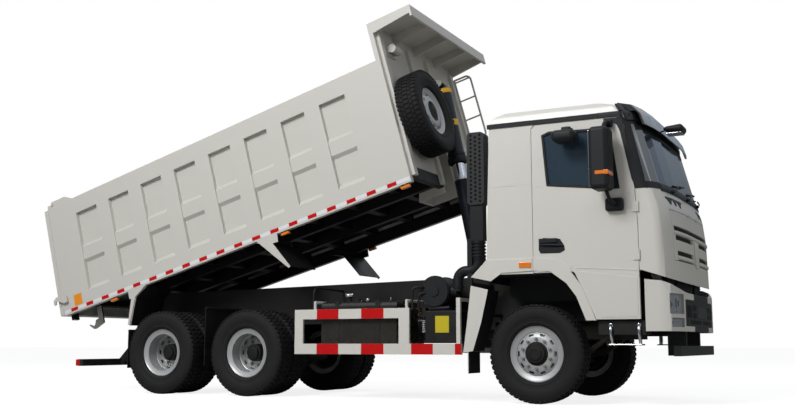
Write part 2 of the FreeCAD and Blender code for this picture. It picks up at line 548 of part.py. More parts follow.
# Door outline, its window and the opening it fills on the right side
def door_prism(gap):
    near = ["door_rear_dx + %s" % gap, "door_front_dx - %s" % gap]
    pts = [(near[0], "door_low + " + gap), (near[1], "door_low + " + gap), (near[1], "1940"),
           ("door_front_dx - 20 - " + gap, "2330"), ("door_front_dx - 120 - " + gap, "3060"),
           ("door_front_dx - 190 - " + gap, "door_top - " + gap), ("door_rear_dx + 40 + " + gap, "door_top - " + gap),
           (near[0], "door_top - 40 - " + gap)]
    return plate("XZ", [(F + " + " + a, b) for a, b in pts], -1300, 200)


opening = door_prism("0")
window = plate("XZ", [(F + " + 187", 2430), (F + " + 911", 2346), (F + " + 1019", 2346), (F + " + 931", 3020),
                      (F + " + 880", 3036), (F + " + 223", 3056), (F + " + 135", 3020)], -1300, 200)
screen_hole = plate("YZ", [(-1060, 2400), (1060, 2400), (1060, 2990), (-1060, 2990)], F + " + 1100", 600)
flap_hole = block(F + " + 1470", -1000, 1560, 200, 2000, 560)
rear_arch = plate("XZ", [(F + " - 743", 1430), (F + " - 555", 1616), (F, 1621), (F, 1480), (F + " - 364", 1467),
                         (F + " - 497", 1376)], -1262, 45)
front_arch = plate("XZ", [(F + " + 16", 1621), (F + " + 172", 1607), (F + " + 418", 1496), (F + " + 546", 1327),
                          (F + " + 652", 1090), (F + " + 720", 920), (F + " + 609", 920), (F + " + 505", 1183),
                          (F + " + 395", 1331), (F + " + 208", 1470), (F + " + 29", 1482), (F + " + 16", 1482)],
                   -1262, 45)
tilt_arm = plate("XZ", [(F + " + 1150", "cab_bottom + 20"), (F + " + 1240", "cab_bottom + 20"),
                        (F + " + cab_pivot_dx - 175", "cab_pivot_z + 270"),
                        (F + " + cab_pivot_dx - 85", "cab_pivot_z + 70"), (F + " + cab_pivot_dx - 60", "cab_pivot_z - 60"),
                        (F + " + cab_pivot_dx - 170", "cab_pivot_z + 20"),
                        (F + " + cab_pivot_dx - 250", "cab_pivot_z + 230")], "rail_y + 50", 50)
tilt_arm = joined([tilt_arm, rod("y", F + " + cab_pivot_dx", "rail_y + 50", "cab_pivot_z", 55, 50),
                   block(F + " + cab_pivot_dx - 85", "rail_y + 50", "cab_pivot_z - 45", 70, 50, 90)])
tilt_arm = without(tilt_arm, [rod("y", F + " + cab_pivot_dx", 400, "cab_pivot_z", 25.4, 200)])
body_shell = without(rough, [opening, across(opening), screen_hole, flap_hole])
node("cab_shell", joined([body_shell, rear_arch, across(rear_arch), tilt_arm, across(tilt_arm)]))

thin = cab_form(FORM[2:7], "glass")
glass_zone = plate("YZ", [(-1060, 2400), (1060, 2400), (1060, 2990), (-1060, 2990)], F + " + 1100", 600)
node("windscreen", without(shared(form, glass_zone), [thin]))
flap_zone = block(F + " + 1470", "door_gap - 1000", "1560 + door_gap", 200, "2000 - 2*door_gap", "560 - 2*door_gap")
slots = []
for low, tall, begin, end, lean in ((1893, 52, -960, 1920, 0), (1790, 57, -925, 760, 0), (1623, 52, -895, 730, 0),
                                    (1525, 52, -870, 705, 0)):
    slots.append(block(F + " + 1400", begin, low, 300, end, tall))
    if begin + end < 0:
        slots.append(across(slots[-1]))
flap_skin = without(shared(rough, flap_zone), slots)
barrels = [joined([rod("y", F + " + 1556", low, 2126, 8, 90), block(F + " + 1524", low, 2106, 32, 90, 7),
                   block(F + " + 1549", low, 2106, 7, 90, 20)]) for low in (-290, 200)]
node("front_flap", joined([flap_skin] + barrels))

# Doors: skin cut from the cab's own form, with the arch lip and the skirt below
leaf = without(shared(rough, door_prism("door_gap")), [window])
skirt = plate("XZ", [(F + " + 480", "door_low + 12"), (F + " + 1199", "door_low + 12"), (F + " + 1199", "skirt_low"),
                     (F + " + 721", "skirt_low"), (F + " + 652", 1090), (F + " + 546", 1327)], "-cab_half", "skirt_thick")
handle = block(F + " + 90", -1275, 1790, 210, 26, 45)
hinges = [joined([rod("z", F + " + 1208", -1262, low, 11.5, 110), block(F + " + 1150", -1262, low, 56, 11.8, 110),
                  block(F + " + 1140", -1256, low, 34, 8, 110)]) for low in (1560, 2080)]
door_right = joined([leaf, skirt, front_arch, handle] + hinges)
node("door_right", door_right)
node("door_left", across(door_right))
pane = plate("XZ", [(F + " + 187", 2430), (F + " + 911", 2346), (F + " + 1019", 2346), (F + " + 931", 3020),
                    (F + " + 880", 3036), (F + " + 223", 3056), (F + " + 135", 3020)], -1240, "glass")
node("door_glass_right", pane)
node("door_glass_left", across(pane))
main_head = softened(block(F + " + 815", -1640, 2300, 145, 295, 685), 40)
kerb_head = softened(block(F + " + 395", -1565, 2790, 165, 265, 245), 45)
tubes = joined([rod("y", F + " + 920", -1510, 3070, 17, "1510 - cab_half"), rod("z", F + " + 920", -1490, 2950, 15, 125),
                rod("y", F + " + 960", -1510, 2170, 20, "1510 - cab_half"), rod("z", F + " + 945", -1490, 2160, 17, 170),
                rod("x", F + " + 460", -1410, 3070, 13, 460), rod("z", F + " + 475", -1415, 3000, 12, 75)])
feet = joined([softened(block(F + " + 865", "-cab_half - 80", 2098, 200, 80, 142), 18, "y"),
               softened(block(F + " + 930", "-cab_half - 60", 3034, 80, 60, 78), 14, "y")])
mirror_right = joined([tubes, feet, joined([main_head, kerb_head])])
node("mirrors_right", mirror_right)
node("mirrors_left", across(mirror_right))

# Sun visor over the windscreen
visor_out = cab_form(FORM[4:9], "(0 - visor_proud)")
visor_in = cab_form(FORM[4:7], "(visor_sheet - visor_proud)")
visor_zone = plate("XZ", [(F + " + 1010", 3366), (F + " + 960", 3225), (F + " + 1130", 3060), (F + " + 1500", 3040),
                          (F + " + 1500", 3366)], -1165, 2330)
under_lip = plate("XZ", [(F + " + 900", 3000), (F + " + 1500", 3000), (F + " + 1500", 3215), (F + " + 900", 3215)], -1400, 2800)
visor = without(shared(visor_out, visor_zone), [form, shared(visor_in, under_lip)])
node("sun_visor", together([visor]))

# Inside the cab: dashboard, steering wheel and two seats
dash = plate("XZ", [(F + " + 1000", 1850), (F + " + 1060", 2200), (F + " + 1340", 2280), (F + " + 1370", 2150),
                    (F + " + 1400", 1600), (F + " + 1250", "cab_bottom + 55"), (F + " + 1200", "cab_bottom + 55")], -1000, 2000)
wheel_ring = doc.addObject("Part::Torus", "ring")
wheel_ring.Radius1 = 225
wheel_ring.Radius2 = 16
wheel_ring.Placement = Placement(Vector(), Rotation(Vector(0, 1, 0), -30))
seat(wheel_ring, F + " + 880", 620, 2250)
column_rod = rod("x", 0, 0, 0, 26, 400)
column_rod.Placement = Placement(Vector(), Rotation(Vector(0, 1, 0), 150))
seat(column_rod, F + " + 880", 620, 2250)
spoke = rod("y", F + " + 880", 400, 2250, 14, 440)
node("dashboard", joined([dash, wheel_ring, column_rod, spoke]))
cushion = block(F + " + 60", 380, "cab_bottom + 55", 520, 500, 430)
back = plate("XZ", [(F + " + 60", "cab_bottom + 485"), (F + " + 200", "cab_bottom + 485"), (F + " + 90", 2700),
                    (F + " - 20", 2700)], 400, 460)
node("seats", both(joined([cushion, back])))

# Load bed, in its own axes: X from its rear edge, Z from its lower edge
floor = block(0, "side_depth + weld_gap - bed_width/2", "bed_floor_t - bed_skin", "bed_length - wall_depth - weld_gap",
              "bed_width - 2*side_depth - 2*weld_gap", "bed_skin")
beams = block(700, "rail_y - rail_flange", "beam_bottom", "bed_length - 760", "rail_flange",
              "bed_floor_t - bed_skin - beam_bottom")
sleepers = [block(at, "side_depth - bed_width/2", 140, 90, "bed_width - 2*side_depth", "bed_floor_t - bed_skin - 140")
            for at in [60, 905] + ["bed_length - %d" % (600 + 610 * k) for k in range(7)]]
ear = plate("XZ", [(760, 228), (1140, 228), (1010, -200), (890, -200)], "rail_y + 26", 50)
EAR_X = "(bed_pivot_dx - bed_rear_dx)*cos(bed_tilt) + (bed_pivot_z - bed_rear_z)*sin(bed_tilt)"
EAR_Z = "(bed_pivot_z - bed_rear_z)*cos(bed_tilt) - (bed_pivot_dx - bed_rear_dx)*sin(bed_tilt)"
ear = without(ear, [rod("y", EAR_X, "rail_y + 20", EAR_Z, "pivot_radius + 0.4", 70)])
claw = plate("XZ", [(150, 145), (60, 145), (60, -30), (0, -45), (-15, -85), (-35, -115), (-60, -118), (-128, -76),
                    (-136, -90), (-60, -164), (-20, -168), (150, -122)], -612, 24)
corner_ear = block(20, "bed_width/2 - 216", -65, 45, 110, 215)
nose_beam = block("bed_length - wall_depth - 20", "side_depth - bed_width/2", "beam_bottom", "wall_depth + 20",
                  "bed_width - 2*side_depth",
                  "bed_floor_t - bed_skin - beam_bottom")
dog_cut = plate("XZ", [("bed_length + 5", 1470), ("bed_length + 5", -10), ("bed_length - 403.3", -10)], -212.4, 424.8)
node("bed_floor", without(joined([floor, beams, across(beams), ear, across(ear), nose_beam, claw, across(claw), corner_ear,
                                   across(corner_ear)] + sleepers), [dog_cut]), on_bed=True)

side_skin = block(0, "-bed_width/2 + side_depth - bed_skin", 0, "bed_length", "bed_skin", "bed_height")
low_rail = block(0, "-bed_width/2", 0, "bed_length", "side_depth", "bed_floor_t")
high_rail = block(0, "-bed_width/2", "bed_height - top_rail", "bed_length", "side_depth", "top_rail")
posts = [block(0, "-bed_width/2", 0, "rear_post", "side_depth", "bed_height"),
         block("bed_length - front_post", "-bed_width/2", 0, "front_post", "side_depth", "bed_height")]
SKIN_Y = "side_depth - bed_skin - bed_width/2"
SPAN = "bed_length - rear_post - front_post"
middle = plate("YZ", [(SKIN_Y, 655), ("20 - bed_width/2", 700), ("20 - bed_width/2", 885), (SKIN_Y, 935)], "rear_post", SPAN)
ledge = plate("YZ", [(SKIN_Y, "bed_floor_t - 5"), ("3 - bed_width/2", "bed_floor_t - 5"), ("3 - bed_width/2", "bed_floor_t"),
                     (SKIN_Y, "bed_floor_t + 62")], "rear_post", SPAN)
ribs = [block("rib_first + %d*rib_pitch" % k, "-bed_width/2", "bed_floor_t", "rib_width", "side_depth",
              "bed_height - top_rail - bed_floor_t") for k in range(7)]
hinge_ear = plate("XZ", [(40, "bed_height"), (480, "bed_height"), (330, "bed_height + gate_rise + 45"), (60, "bed_height + gate_rise + 45")],
                  "-bed_width/2 + 20", 40)
hinge_ear = without(hinge_ear, [rod("y", "gate_pivot_s", "-bed_width/2", "bed_height + gate_rise", 20.4, "side_depth")])
hook = plate("XZ", [(130, 260), (30, 270), (-60, 305), (-125, 260), (-125, 195), (-95, 195), (-85, 240), (-20, 225), (60, 175), (120, 180)],
             "-bed_width/2 - 45", 25)
hook_boss = rod("y", 80, "-bed_width/2 - 45", 222, 42, 45)
side_right = joined([side_skin, low_rail, high_rail, middle, ledge, hinge_ear, hook, hook_boss] + posts + ribs)
node("bed_side_right", side_right, on_bed=True)
node("bed_side_left", across(side_right))

# Front wall of the bed with its stiffeners, the sloped recess for the hoist and the cab canopy
wall = block("bed_length - wall_depth", "side_depth - bed_width/2", "bed_floor_t - bed_skin", "wall_depth",
             "bed_width - 2*side_depth", "bed_front_height - bed_floor_t + bed_skin - 40")
slope = [("bed_length + 5", 1420), ("bed_length + 5", -10), ("bed_length - 380", -10)]
wall = without(wall, [plate("XZ", slope, -206, 412)])
niche = without(plate("XZ", [("bed_length", 1450), ("bed_length", 0), ("bed_length - 400", 0)], -212, 424),
                [plate("XZ", [("bed_length + 5", 1400), ("bed_length + 5", -20), ("bed_length - 372", -20)], -200, 400)])
ribs_front = [block("bed_length", y, 90, 45, 90, "bed_front_height - 270") for y in ("side_depth - bed_width/2", "bed_width/2 - 160", -330, 240)]
fork = plate("XZ", [("bed_length", 1330), ("bed_length + 60", 1330), ("bed_length + 310", 1450), ("bed_length + 310", 1510),
                    ("bed_length", 1600)], 120, 20)
fork_side = block("bed_length", 140, 1330, 20, 130, 270)
roof = block("bed_length - 60", "-bed_width/2", "bed_front_height - 40", "canopy_reach + 60", "bed_width", 12)
roof_edge = block("bed_length + canopy_reach - 30", "-bed_width/2", "bed_front_height - 176", 30, "bed_width", 136)
roof_ribs = [plate("XZ", [("bed_length", "bed_front_height - 176"), ("bed_length + canopy_reach - 30", "bed_front_height - 130"),
                          ("bed_length + canopy_reach - 30", "bed_front_height - 40"), ("bed_length", "bed_front_height - 40")], y, 30)
             for y in ("-bed_width/2", -640, -15, 610, "bed_width/2 - 30")]
corner_wings = [plate("XZ", [("bed_length - 60", "bed_height"), ("bed_length", "bed_height"), ("bed_length", "bed_front_height - 40"),
                             ("bed_length - 60", "bed_front_height - 40")], y, 70) for y in ("-bed_width/2", "bed_width/2 - 70")]
# Mudguard brackets and sloping plates hung from the bed before and behind the tandem wheels
rear_hanger = plate("XZ", [(1217, 0), (1545, 0), (1324, -110), (1138, -466), (1110, -450), (1250, -110), (1217, -110)], "-bed_width/2", 12)
front_hanger = plate("XZ", [(3456, 0), (3788, 0), (3775, -106), (3690, -102), (3875, -470), (3845, -484)], "-bed_width/2", 12)
rear_sheet = plate("XZ", [(1545, -10), (1324, -110), (1138, -466), (1150, -466), (1334, -112), (1549, -14)], "12 - bed_width/2", 600)
front_sheet = plate("XZ", [(3456, -10), (3690, -112), (3875, -470), (3863, -476), (3680, -122), (3450, -22)], "12 - bed_width/2", 600)
hang_bars = [block(1400, "12 - bed_width/2", -30, 60, 600, 30), block(3560, "12 - bed_width/2", -60, 60, 600, 60)]
node("bed_mudguards", both(joined([rear_hanger, front_hanger, rear_sheet, front_sheet] + hang_bars)), on_bed=True)

# Spare wheel on the front wall with its carrier, winch and ladder
spare_tyre = turned(tyre_profile)
spare_tyre.Placement = Placement(Vector(), Rotation(Vector(0, 0, 1), -90))
seat(spare_tyre, "bed_length + 203", -690, 930)
spare_rim = joined([turned(band_profile), turned([(246, -62), (246, -48), (190, -34), (60, -34), (60, -48), (185, -48)])])
spare_rim.Placement = Placement(Vector(), Rotation(Vector(0, 0, 1), -90))
seat(spare_rim, "bed_length + 203", -690, 930)
node("spare_tyre", together([spare_tyre]), on_bed=True)
node("spare_rim", together([spare_rim]), on_bed=True)
carrier = joined([block("bed_length", -930, 900, 95, 480, 60), block("bed_length + 95", -750, 870, 60, 120, 120),
                  rod("x", "bed_length + 150", -690, 930, 30, 90)])
winch = joined([block("bed_length", -980, 1760, 20, 240, 160), rod("y", "bed_length + 90", -960, 1840, 55, 200),
                block("bed_length + 20", -960, 1800, 70, 12, 80), block("bed_length + 20", -772, 1800, 70, 12, 80)])
LADDER_Y = "bed_width/2 - 50"
ladder = [rod("z", "bed_length + 300", LADDER_Y, 1040, 14, 820), rod("z", "bed_length + 50", LADDER_Y, 960, 14, 980)]
ladder += [elbow("bed_length + 220", LADDER_Y, 1860, 80, 14, 0), rod("x", "bed_length + 50", LADDER_Y, 1940, 14, 170),
           elbow("bed_length + 220", LADDER_Y, 1040, 80, 14, -90), rod("x", "bed_length + 50", LADDER_Y, 960, 14, 170)]
ladder += [rod("x", "bed_length + 50", LADDER_Y, z, 12, 250) for z in (1000, 1300, 1600, 1900)]
ladder += [rod("x", "bed_length", LADDER_Y, z, 12, 60) for z in (1000, 1900)]
front_parts = [wall, niche, fork, across(fork), fork_side, across(fork_side), roof, roof_edge, carrier, winch]
node("bed_front_wall", joined(front_parts + ribs_front + roof_ribs + corner_wings + ladder), on_bed=True)

# Tailgate hung from two top pivots
GATE_Y = "5 - bed_width/2"
gate = block("-gate_gap - gate_thick", GATE_Y, 20, 12, "bed_width - 10", "bed_height - 40")
gate_frame = [block("-gate_gap - gate_thick", GATE_Y, z, "gate_thick", "bed_width - 10", 110) for z in (20, 800, "bed_height - 130")]
gate_frame += [block("-gate_gap - gate_thick", y, 20, "gate_thick", 110, "bed_height - 40") for y in (GATE_Y, -600, -55, 490, "bed_width/2 - 115")]
gate_arm = plate("XZ", [("-gate_gap - gate_thick", "bed_height - 90"), ("-gate_gap", "bed_height - 90"), ("-gate_gap", "bed_height - 10"),
                        (110, "bed_height + 10"), (110, "bed_height + gate_rise + 30"),
                        ("-gate_gap - gate_thick + 10", "bed_height + gate_rise + 30")], "72 - bed_width/2", 30)
gate_pin = rod("y", "gate_pivot_s", GATE_Y, "bed_height + gate_rise", 20, 97)
gate_keeper = rod("y", "-gate_gap - gate_thick/2", "-bed_width/2 - 8", 175, 15, 30)
tail = joined([gate, gate_arm, across(gate_arm), gate_pin, across(gate_pin), gate_keeper, across(gate_keeper)] + gate_frame)
node("tailgate", tail, on_bed=True)

# Hoist in its own axes: foot eye at the origin, tubes one inside the next along Z
STAGE = "(hoist_length - hoist_base_top - 105)/4"
base_tube = turned([("base_radius - 12", 90), ("base_radius - 12", "hoist_base_top - 70"),
                    ("stage_radius + stage_gap", "hoist_base_top - 70"), ("stage_radius + stage_gap", "hoist_base_top"),
                    ("base_radius", "hoist_base_top"), ("base_radius", 70), (0, 70), (0, 90)])
base_tube.Placement = Placement(Vector(), Rotation(Vector(1, 0, 0), 90))
foot_eye = without(joined([rod("y", 0, "-foot_half", 0, 55, "2*foot_half"), block(-50, -90, 0, 100, 180, 75)]),
                   [rod("y", 0, -200, 0, "foot_pin + 0.4", 400)])
node("hoist_base", joined([together([base_tube]), foot_eye]), on_hoist=True)
for k in (1, 2, 3):
    outer = "stage_radius - %d*stage_step" % (k - 1)
    bore = "stage_radius + stage_gap - %d*stage_step" % k
    low, high = "%d + %d*%s" % (110 + 8 * k, k, STAGE), "hoist_base_top + %d + %d*%s" % (4 + 2 * k, k, STAGE)
    tube = turned([(bore, low), (bore, high), (outer, high), (outer, low)])
    tube.Placement = Placement(Vector(), Rotation(Vector(1, 0, 0), 90))
    node("hoist_stage_%d" % k, together([tube]), on_hoist=True)
cover = turned([("cover_radius - cover_wall", "hoist_cover_end"), ("cover_radius - cover_wall", "hoist_length - 86"),
                ("stage_radius - 3*stage_step", "hoist_length - 86"), ("stage_radius - 3*stage_step", "142 + 4*" + STAGE),
                (0, "142 + 4*" + STAGE), (0, "hoist_length - 71"),
                ("cover_radius", "hoist_length - 71"), ("cover_radius", "hoist_cover_end")])
cover.Placement = Placement(Vector(), Rotation(Vector(1, 0, 0), 90))
top_eye = joined([rod("y", 0, -35, "hoist_length", 42, 70), rod("y", 0, -119.7, "hoist_length", 18, 239.4), block(-35, -35, "hoist_length - 75", 70, 70, 60)])
node("hoist_cover", joined([together([cover]), top_eye]), on_hoist=True)

# Every object has to be sound before anything is written
doc.recompute()
faults = [item.Label for item in doc.Objects if "Invalid" in item.State or "Error" in item.State]
for item in NODES:
    if item.Shape.isNull() or not item.Shape.isValid():
        faults.append(item.Label)
if faults:
    raise RuntimeError("faulty: " + ", ".join(faults))
os.makedirs("parts", exist_ok=True)
for item in NODES:
    item.Shape.exportStep("parts/" + item.Label + ".step")
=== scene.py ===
import json
import math

import bpy
from mathutils import Matrix, Vector


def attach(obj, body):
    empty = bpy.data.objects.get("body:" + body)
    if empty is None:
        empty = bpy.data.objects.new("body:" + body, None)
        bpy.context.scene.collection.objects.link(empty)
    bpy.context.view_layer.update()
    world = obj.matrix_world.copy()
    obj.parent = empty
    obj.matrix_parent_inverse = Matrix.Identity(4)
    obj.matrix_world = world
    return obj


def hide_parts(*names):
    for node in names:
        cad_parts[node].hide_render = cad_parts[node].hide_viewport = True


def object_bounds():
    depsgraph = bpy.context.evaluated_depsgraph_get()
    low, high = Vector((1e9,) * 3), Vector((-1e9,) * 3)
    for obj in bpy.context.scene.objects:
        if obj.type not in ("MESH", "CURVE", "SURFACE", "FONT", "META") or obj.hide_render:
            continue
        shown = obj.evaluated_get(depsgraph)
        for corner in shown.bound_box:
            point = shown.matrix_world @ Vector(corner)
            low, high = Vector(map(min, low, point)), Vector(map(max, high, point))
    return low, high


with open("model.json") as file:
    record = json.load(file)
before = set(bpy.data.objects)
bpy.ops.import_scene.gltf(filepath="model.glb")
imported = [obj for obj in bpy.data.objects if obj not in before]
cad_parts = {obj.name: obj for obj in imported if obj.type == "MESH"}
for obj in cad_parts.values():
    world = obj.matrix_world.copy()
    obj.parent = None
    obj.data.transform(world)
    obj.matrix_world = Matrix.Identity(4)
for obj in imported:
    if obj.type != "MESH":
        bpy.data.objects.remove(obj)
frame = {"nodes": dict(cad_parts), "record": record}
cad_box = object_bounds()
bpy.ops.object.select_all(action="DESELECT")

# Road dust and paint
# Every painted part of the lorry carries a faint film of pale dust, heavier near the road, over paint
# that is never quite even. The dust is one node group, and each paint sets its own colour in it.
def fill(node, values):
    # plain numbers for some of a node's sockets, by their names
    for name, value in values.items():
        node.inputs[name].default_value = value


def wire(tree, *links):
    # links that each run from a node's output to a node's input
    for source, output, target, slot in links:
        tree.links.new(source.outputs[output], target.inputs[slot])


def dust_group():
    # patches of noise, thinner away from the road, lay the dust's colour over the paint's
    group = bpy.data.node_groups.new("road_dust", "ShaderNodeTree")
    for name, kind, value in (
            ("Colour", "Color", (0.8, 0.8, 0.8, 1)), ("Dust colour", "Color", (0.45, 0.4, 0.33, 1)),
            ("Dust amount", "Float", 0.2), ("Grain size", "Float", 6.0), ("Low roughness", "Float", 0.3),
            ("High roughness", "Float", 0.6)):
        socket = group.interface.new_socket(name=name, in_out="INPUT", socket_type="NodeSocket" + kind)
        socket.default_value = value
    for name, kind in (("Colour", "Color"), ("Roughness", "Float"), ("Height", "Float")):
        group.interface.new_socket(name=name, in_out="OUTPUT", socket_type="NodeSocket" + kind)
    n = group.nodes
    inlet, outlet = n.new("NodeGroupInput"), n.new("NodeGroupOutput")
    place, split = n.new("ShaderNodeTexCoord"), n.new("ShaderNodeSeparateXYZ")
    patches, fine = n.new("ShaderNodeTexNoise"), n.new("ShaderNodeTexNoise")
    fill(patches, {"Detail": 6})
    fill(fine, {"Scale": 140, "Detail": 3})
    low, rough = n.new("ShaderNodeMapRange"), n.new("ShaderNodeMapRange")
    fill(low, {"From Min": 0.2, "From Max": 1.9, "To Min": 1.0, "To Max": 0.25})
    times, amount = n.new("ShaderNodeMath"), n.new("ShaderNodeMath")
    times.operation = "MULTIPLY"
    amount.operation = "MULTIPLY"
    amount.use_clamp = True
    blend = n.new("ShaderNodeMix")
    blend.data_type = "RGBA"
    wire(group, (place, "Object", patches, "Vector"), (place, "Object", fine, "Vector"),
         (inlet, "Grain size", patches, "Scale"), (place, "Object", split, 0), (split, "Z", low, "Value"),
         (patches, "Fac", times, 0), (low, "Result", times, 1), (times, 0, amount, 0),
         (inlet, "Dust amount", amount, 1), (amount, 0, blend, 0), (inlet, "Colour", blend, 6),
         (inlet, "Dust colour", blend, 7), (blend, 2, outlet, "Colour"), (patches, "Fac", rough, "Value"),
         (inlet, "Low roughness", rough, "To Min"), (inlet, "High roughness", rough, "To Max"),
         (rough, "Result", outlet, "Roughness"), (fine, "Fac", outlet, "Height"))
    return group


road_dust = dust_group()


def started(name, values):
    # a new material with plain numbers on its shader
    made = bpy.data.materials.new(name)
    made.use_nodes = True
    fill(made.node_tree.nodes["Principled BSDF"], values)
    return made


def dusty(name, colour, dust=0.2, grain=6.0, low=0.3, high=0.5, dust_colour=(0.42, 0.37, 0.30), metal=0.0,
          coat=0.0, bump=0.02, shine=0.22):
    # a finish under the road's dust, whose roughness wanders between low and high
    made = started(name, {"Metallic": metal, "Coat Weight": coat, "Coat Roughness": 0.12,
                          "Specular IOR Level": shine})
    n = made.node_tree.nodes
    shader, film, pits = n["Principled BSDF"], n.new("ShaderNodeGroup"), n.new("ShaderNodeBump")
    film.node_tree = road_dust
    fill(film, {"Colour": (*colour, 1), "Dust colour": (*dust_colour, 1), "Dust amount": dust,
                "Grain size": grain, "Low roughness": low, "High roughness": high})
    fill(pits, {"Strength": bump, "Distance": 0.002})
    wire(made.node_tree, (film, "Colour", shader, "Base Color"), (film, "Roughness", shader, "Roughness"),
         (film, "Height", pits, "Height"), (pits, "Normal", shader, "Normal"))
    return made


cream_paint = dusty("cream_paint", (0.645, 0.627, 0.583), dust=0.09, low=0.25, high=0.45, coat=0.35,
                    shine=0.3)
# painted shade: the same cream made darker for the bed and tailgate, whose sides lie in more shade than the
# cab
bed_cream_shaded = dusty("bed_cream_painted_shade", (0.565, 0.552, 0.512), dust=0.12, coat=0.2, shine=0.3)
black_paint = dusty("black_frame_paint", (0.008, 0.008, 0.009), dust=0.05, low=0.35, high=0.6)
iron = dusty("dusty_cast_iron", (0.014, 0.013, 0.012), dust=0.12, low=0.5, high=0.8, metal=0.2, bump=0.3)
rim_paint = dusty("silver_wheel_paint", (0.42, 0.43, 0.44), metal=0.35)
tyre_black = dusty("tyre_rubber", (0.009, 0.009, 0.009), dust=0.14, grain=9, low=0.6, high=0.85,
                   dust_colour=(0.075, 0.068, 0.06), bump=0.15)
black_plastic = dusty("grained_black_plastic", (0.009, 0.010, 0.012), dust=0.035, low=0.4, high=0.6, bump=0.2)
navy_paint = dusty("dark_navy_paint", (0.010, 0.012, 0.018), dust=0.025, low=0.2, high=0.4, coat=0.15,
                   shine=0.2)
chrome = dusty("hoist_chrome", (0.66, 0.67, 0.69), dust=0.05, low=0.08, high=0.2, metal=1.0)
# painted shade: a warm near-black standing in for a dull aluminium tank that lies in shade
glossy_tank_shade = dusty("glossy_tank_painted_shade", (0.017, 0.016, 0.014), dust=0.05, low=0.15, high=0.4, coat=0.5)
smoked_visor = dusty("smoked_visor", (0.040, 0.038, 0.038), dust=0.08, grain=3, low=0.12, high=0.3, coat=0.8)
seat_cloth = dusty("seat_cloth", (0.05, 0.05, 0.055), dust=0.05, low=0.8, high=0.95, bump=0.4)
# painted shade: a near-black for the inside of holes and slots, laid on as thin discs and patches; also used
# on the visor's screw heads
painted_hole_shade = dusty("hole_shadow", (0.002, 0.002, 0.002), dust=0.02, low=0.8, high=0.95)
intake_plastic = dusty("intake_plastic", (0.022, 0.023, 0.025), dust=0.06, low=0.4, high=0.6, bump=0.2)
tinted_glass = started("tinted_glass", {"Base Color": (0.10, 0.17, 0.24, 1), "Roughness": 0.03,
                                        "Transmission Weight": 0.75})


def either(tree, mask, output, first, second):
    # the first of two shaders where the mask's output is 0, and the second where it is 1
    mix = tree.nodes.new("ShaderNodeMixShader")
    wire(tree, (mask, output, mix, 0), (first, 0, mix, 1), (second, 0, mix, 2))
    return mix


lamp_glass = started("lamp_glass", {"Base Color": (0.55, 0.57, 0.60, 1), "Roughness": 0.04})
tree = lamp_glass.node_tree
clear, edge_on = tree.nodes.new("ShaderNodeBsdfTransparent"), tree.nodes.new("ShaderNodeFresnel")
fill(clear, {"Color": (0.93, 0.94, 0.95, 1)})
fill(edge_on, {"IOR": 1.6})
seen = either(tree, edge_on, 0, clear, tree.nodes["Principled BSDF"])
wire(tree, (seen, 0, tree.nodes["Material Output"], "Surface"))

# Pieces shown as the frame gives them
# Most imported pieces get their real edges here: each one's own mesh is copied and merged, and every sharp
# corner is rolled over by a few millimetres, as pressed and welded steel has it. Glass, tyres and rims only
# get their finish, and the mirrors are left for the door mirrors below.
merge_gap, level_angle = 0.0001, 0.01


def own_copy(source, name):
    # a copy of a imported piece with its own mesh, the only one selected
    piece = source.copy()
    piece.data = source.data.copy()
    piece.name = name
    bpy.context.collection.objects.link(piece)
    piece.parent = None
    piece.matrix_world = Matrix.Identity(4)
    piece.hide_render = False
    piece.hide_viewport = False
    bpy.ops.object.select_all(action="DESELECT")
    piece.select_set(True)
    bpy.context.view_layer.objects.active = piece
    return piece


def roll_over(piece, width, segments=2, limit=30):
    # edges sharper than the limit, in degrees, are rolled over
    roll = piece.modifiers.new("roll", "BEVEL")
    roll.width = width
    roll.segments = segments
    roll.limit_method = "ANGLE"
    roll.angle_limit = math.radians(limit)
    bpy.ops.object.modifier_apply(modifier="roll")


def shade(piece, angle, even=False):
    # smooth up to an angle in degrees; if even, broad faces stay flat and only rolled edges shade round
    bpy.ops.object.shade_smooth_by_angle(angle=math.radians(angle))
    if even:
        weigh = piece.modifiers.new("even", "WEIGHTED_NORMAL")
        weigh.weight = 80
        weigh.keep_sharp = True
        bpy.ops.object.modifier_apply(modifier="even")


def hand_over(piece, body, nodes=()):
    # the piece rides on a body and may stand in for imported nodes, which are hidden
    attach(piece, body)
    if nodes:
        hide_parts(*nodes)


def rolled_edges(node, body, material):
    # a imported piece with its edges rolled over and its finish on
    piece = own_copy(frame["nodes"][node], node + ".finished")
    bpy.ops.object.mode_set(mode="EDIT")
    bpy.ops.mesh.select_all(action="SELECT")
    bpy.ops.mesh.remove_doubles(threshold=merge_gap)
    bpy.ops.mesh.dissolve_limited(angle_limit=level_angle)
    bpy.ops.object.mode_set(mode="OBJECT")
    roll_over(piece, 0.004, limit=32)
    shade(piece, 35, even=True)
    piece.data.materials.clear()
    piece.data.materials.append(material)
    hand_over(piece, body, [node])


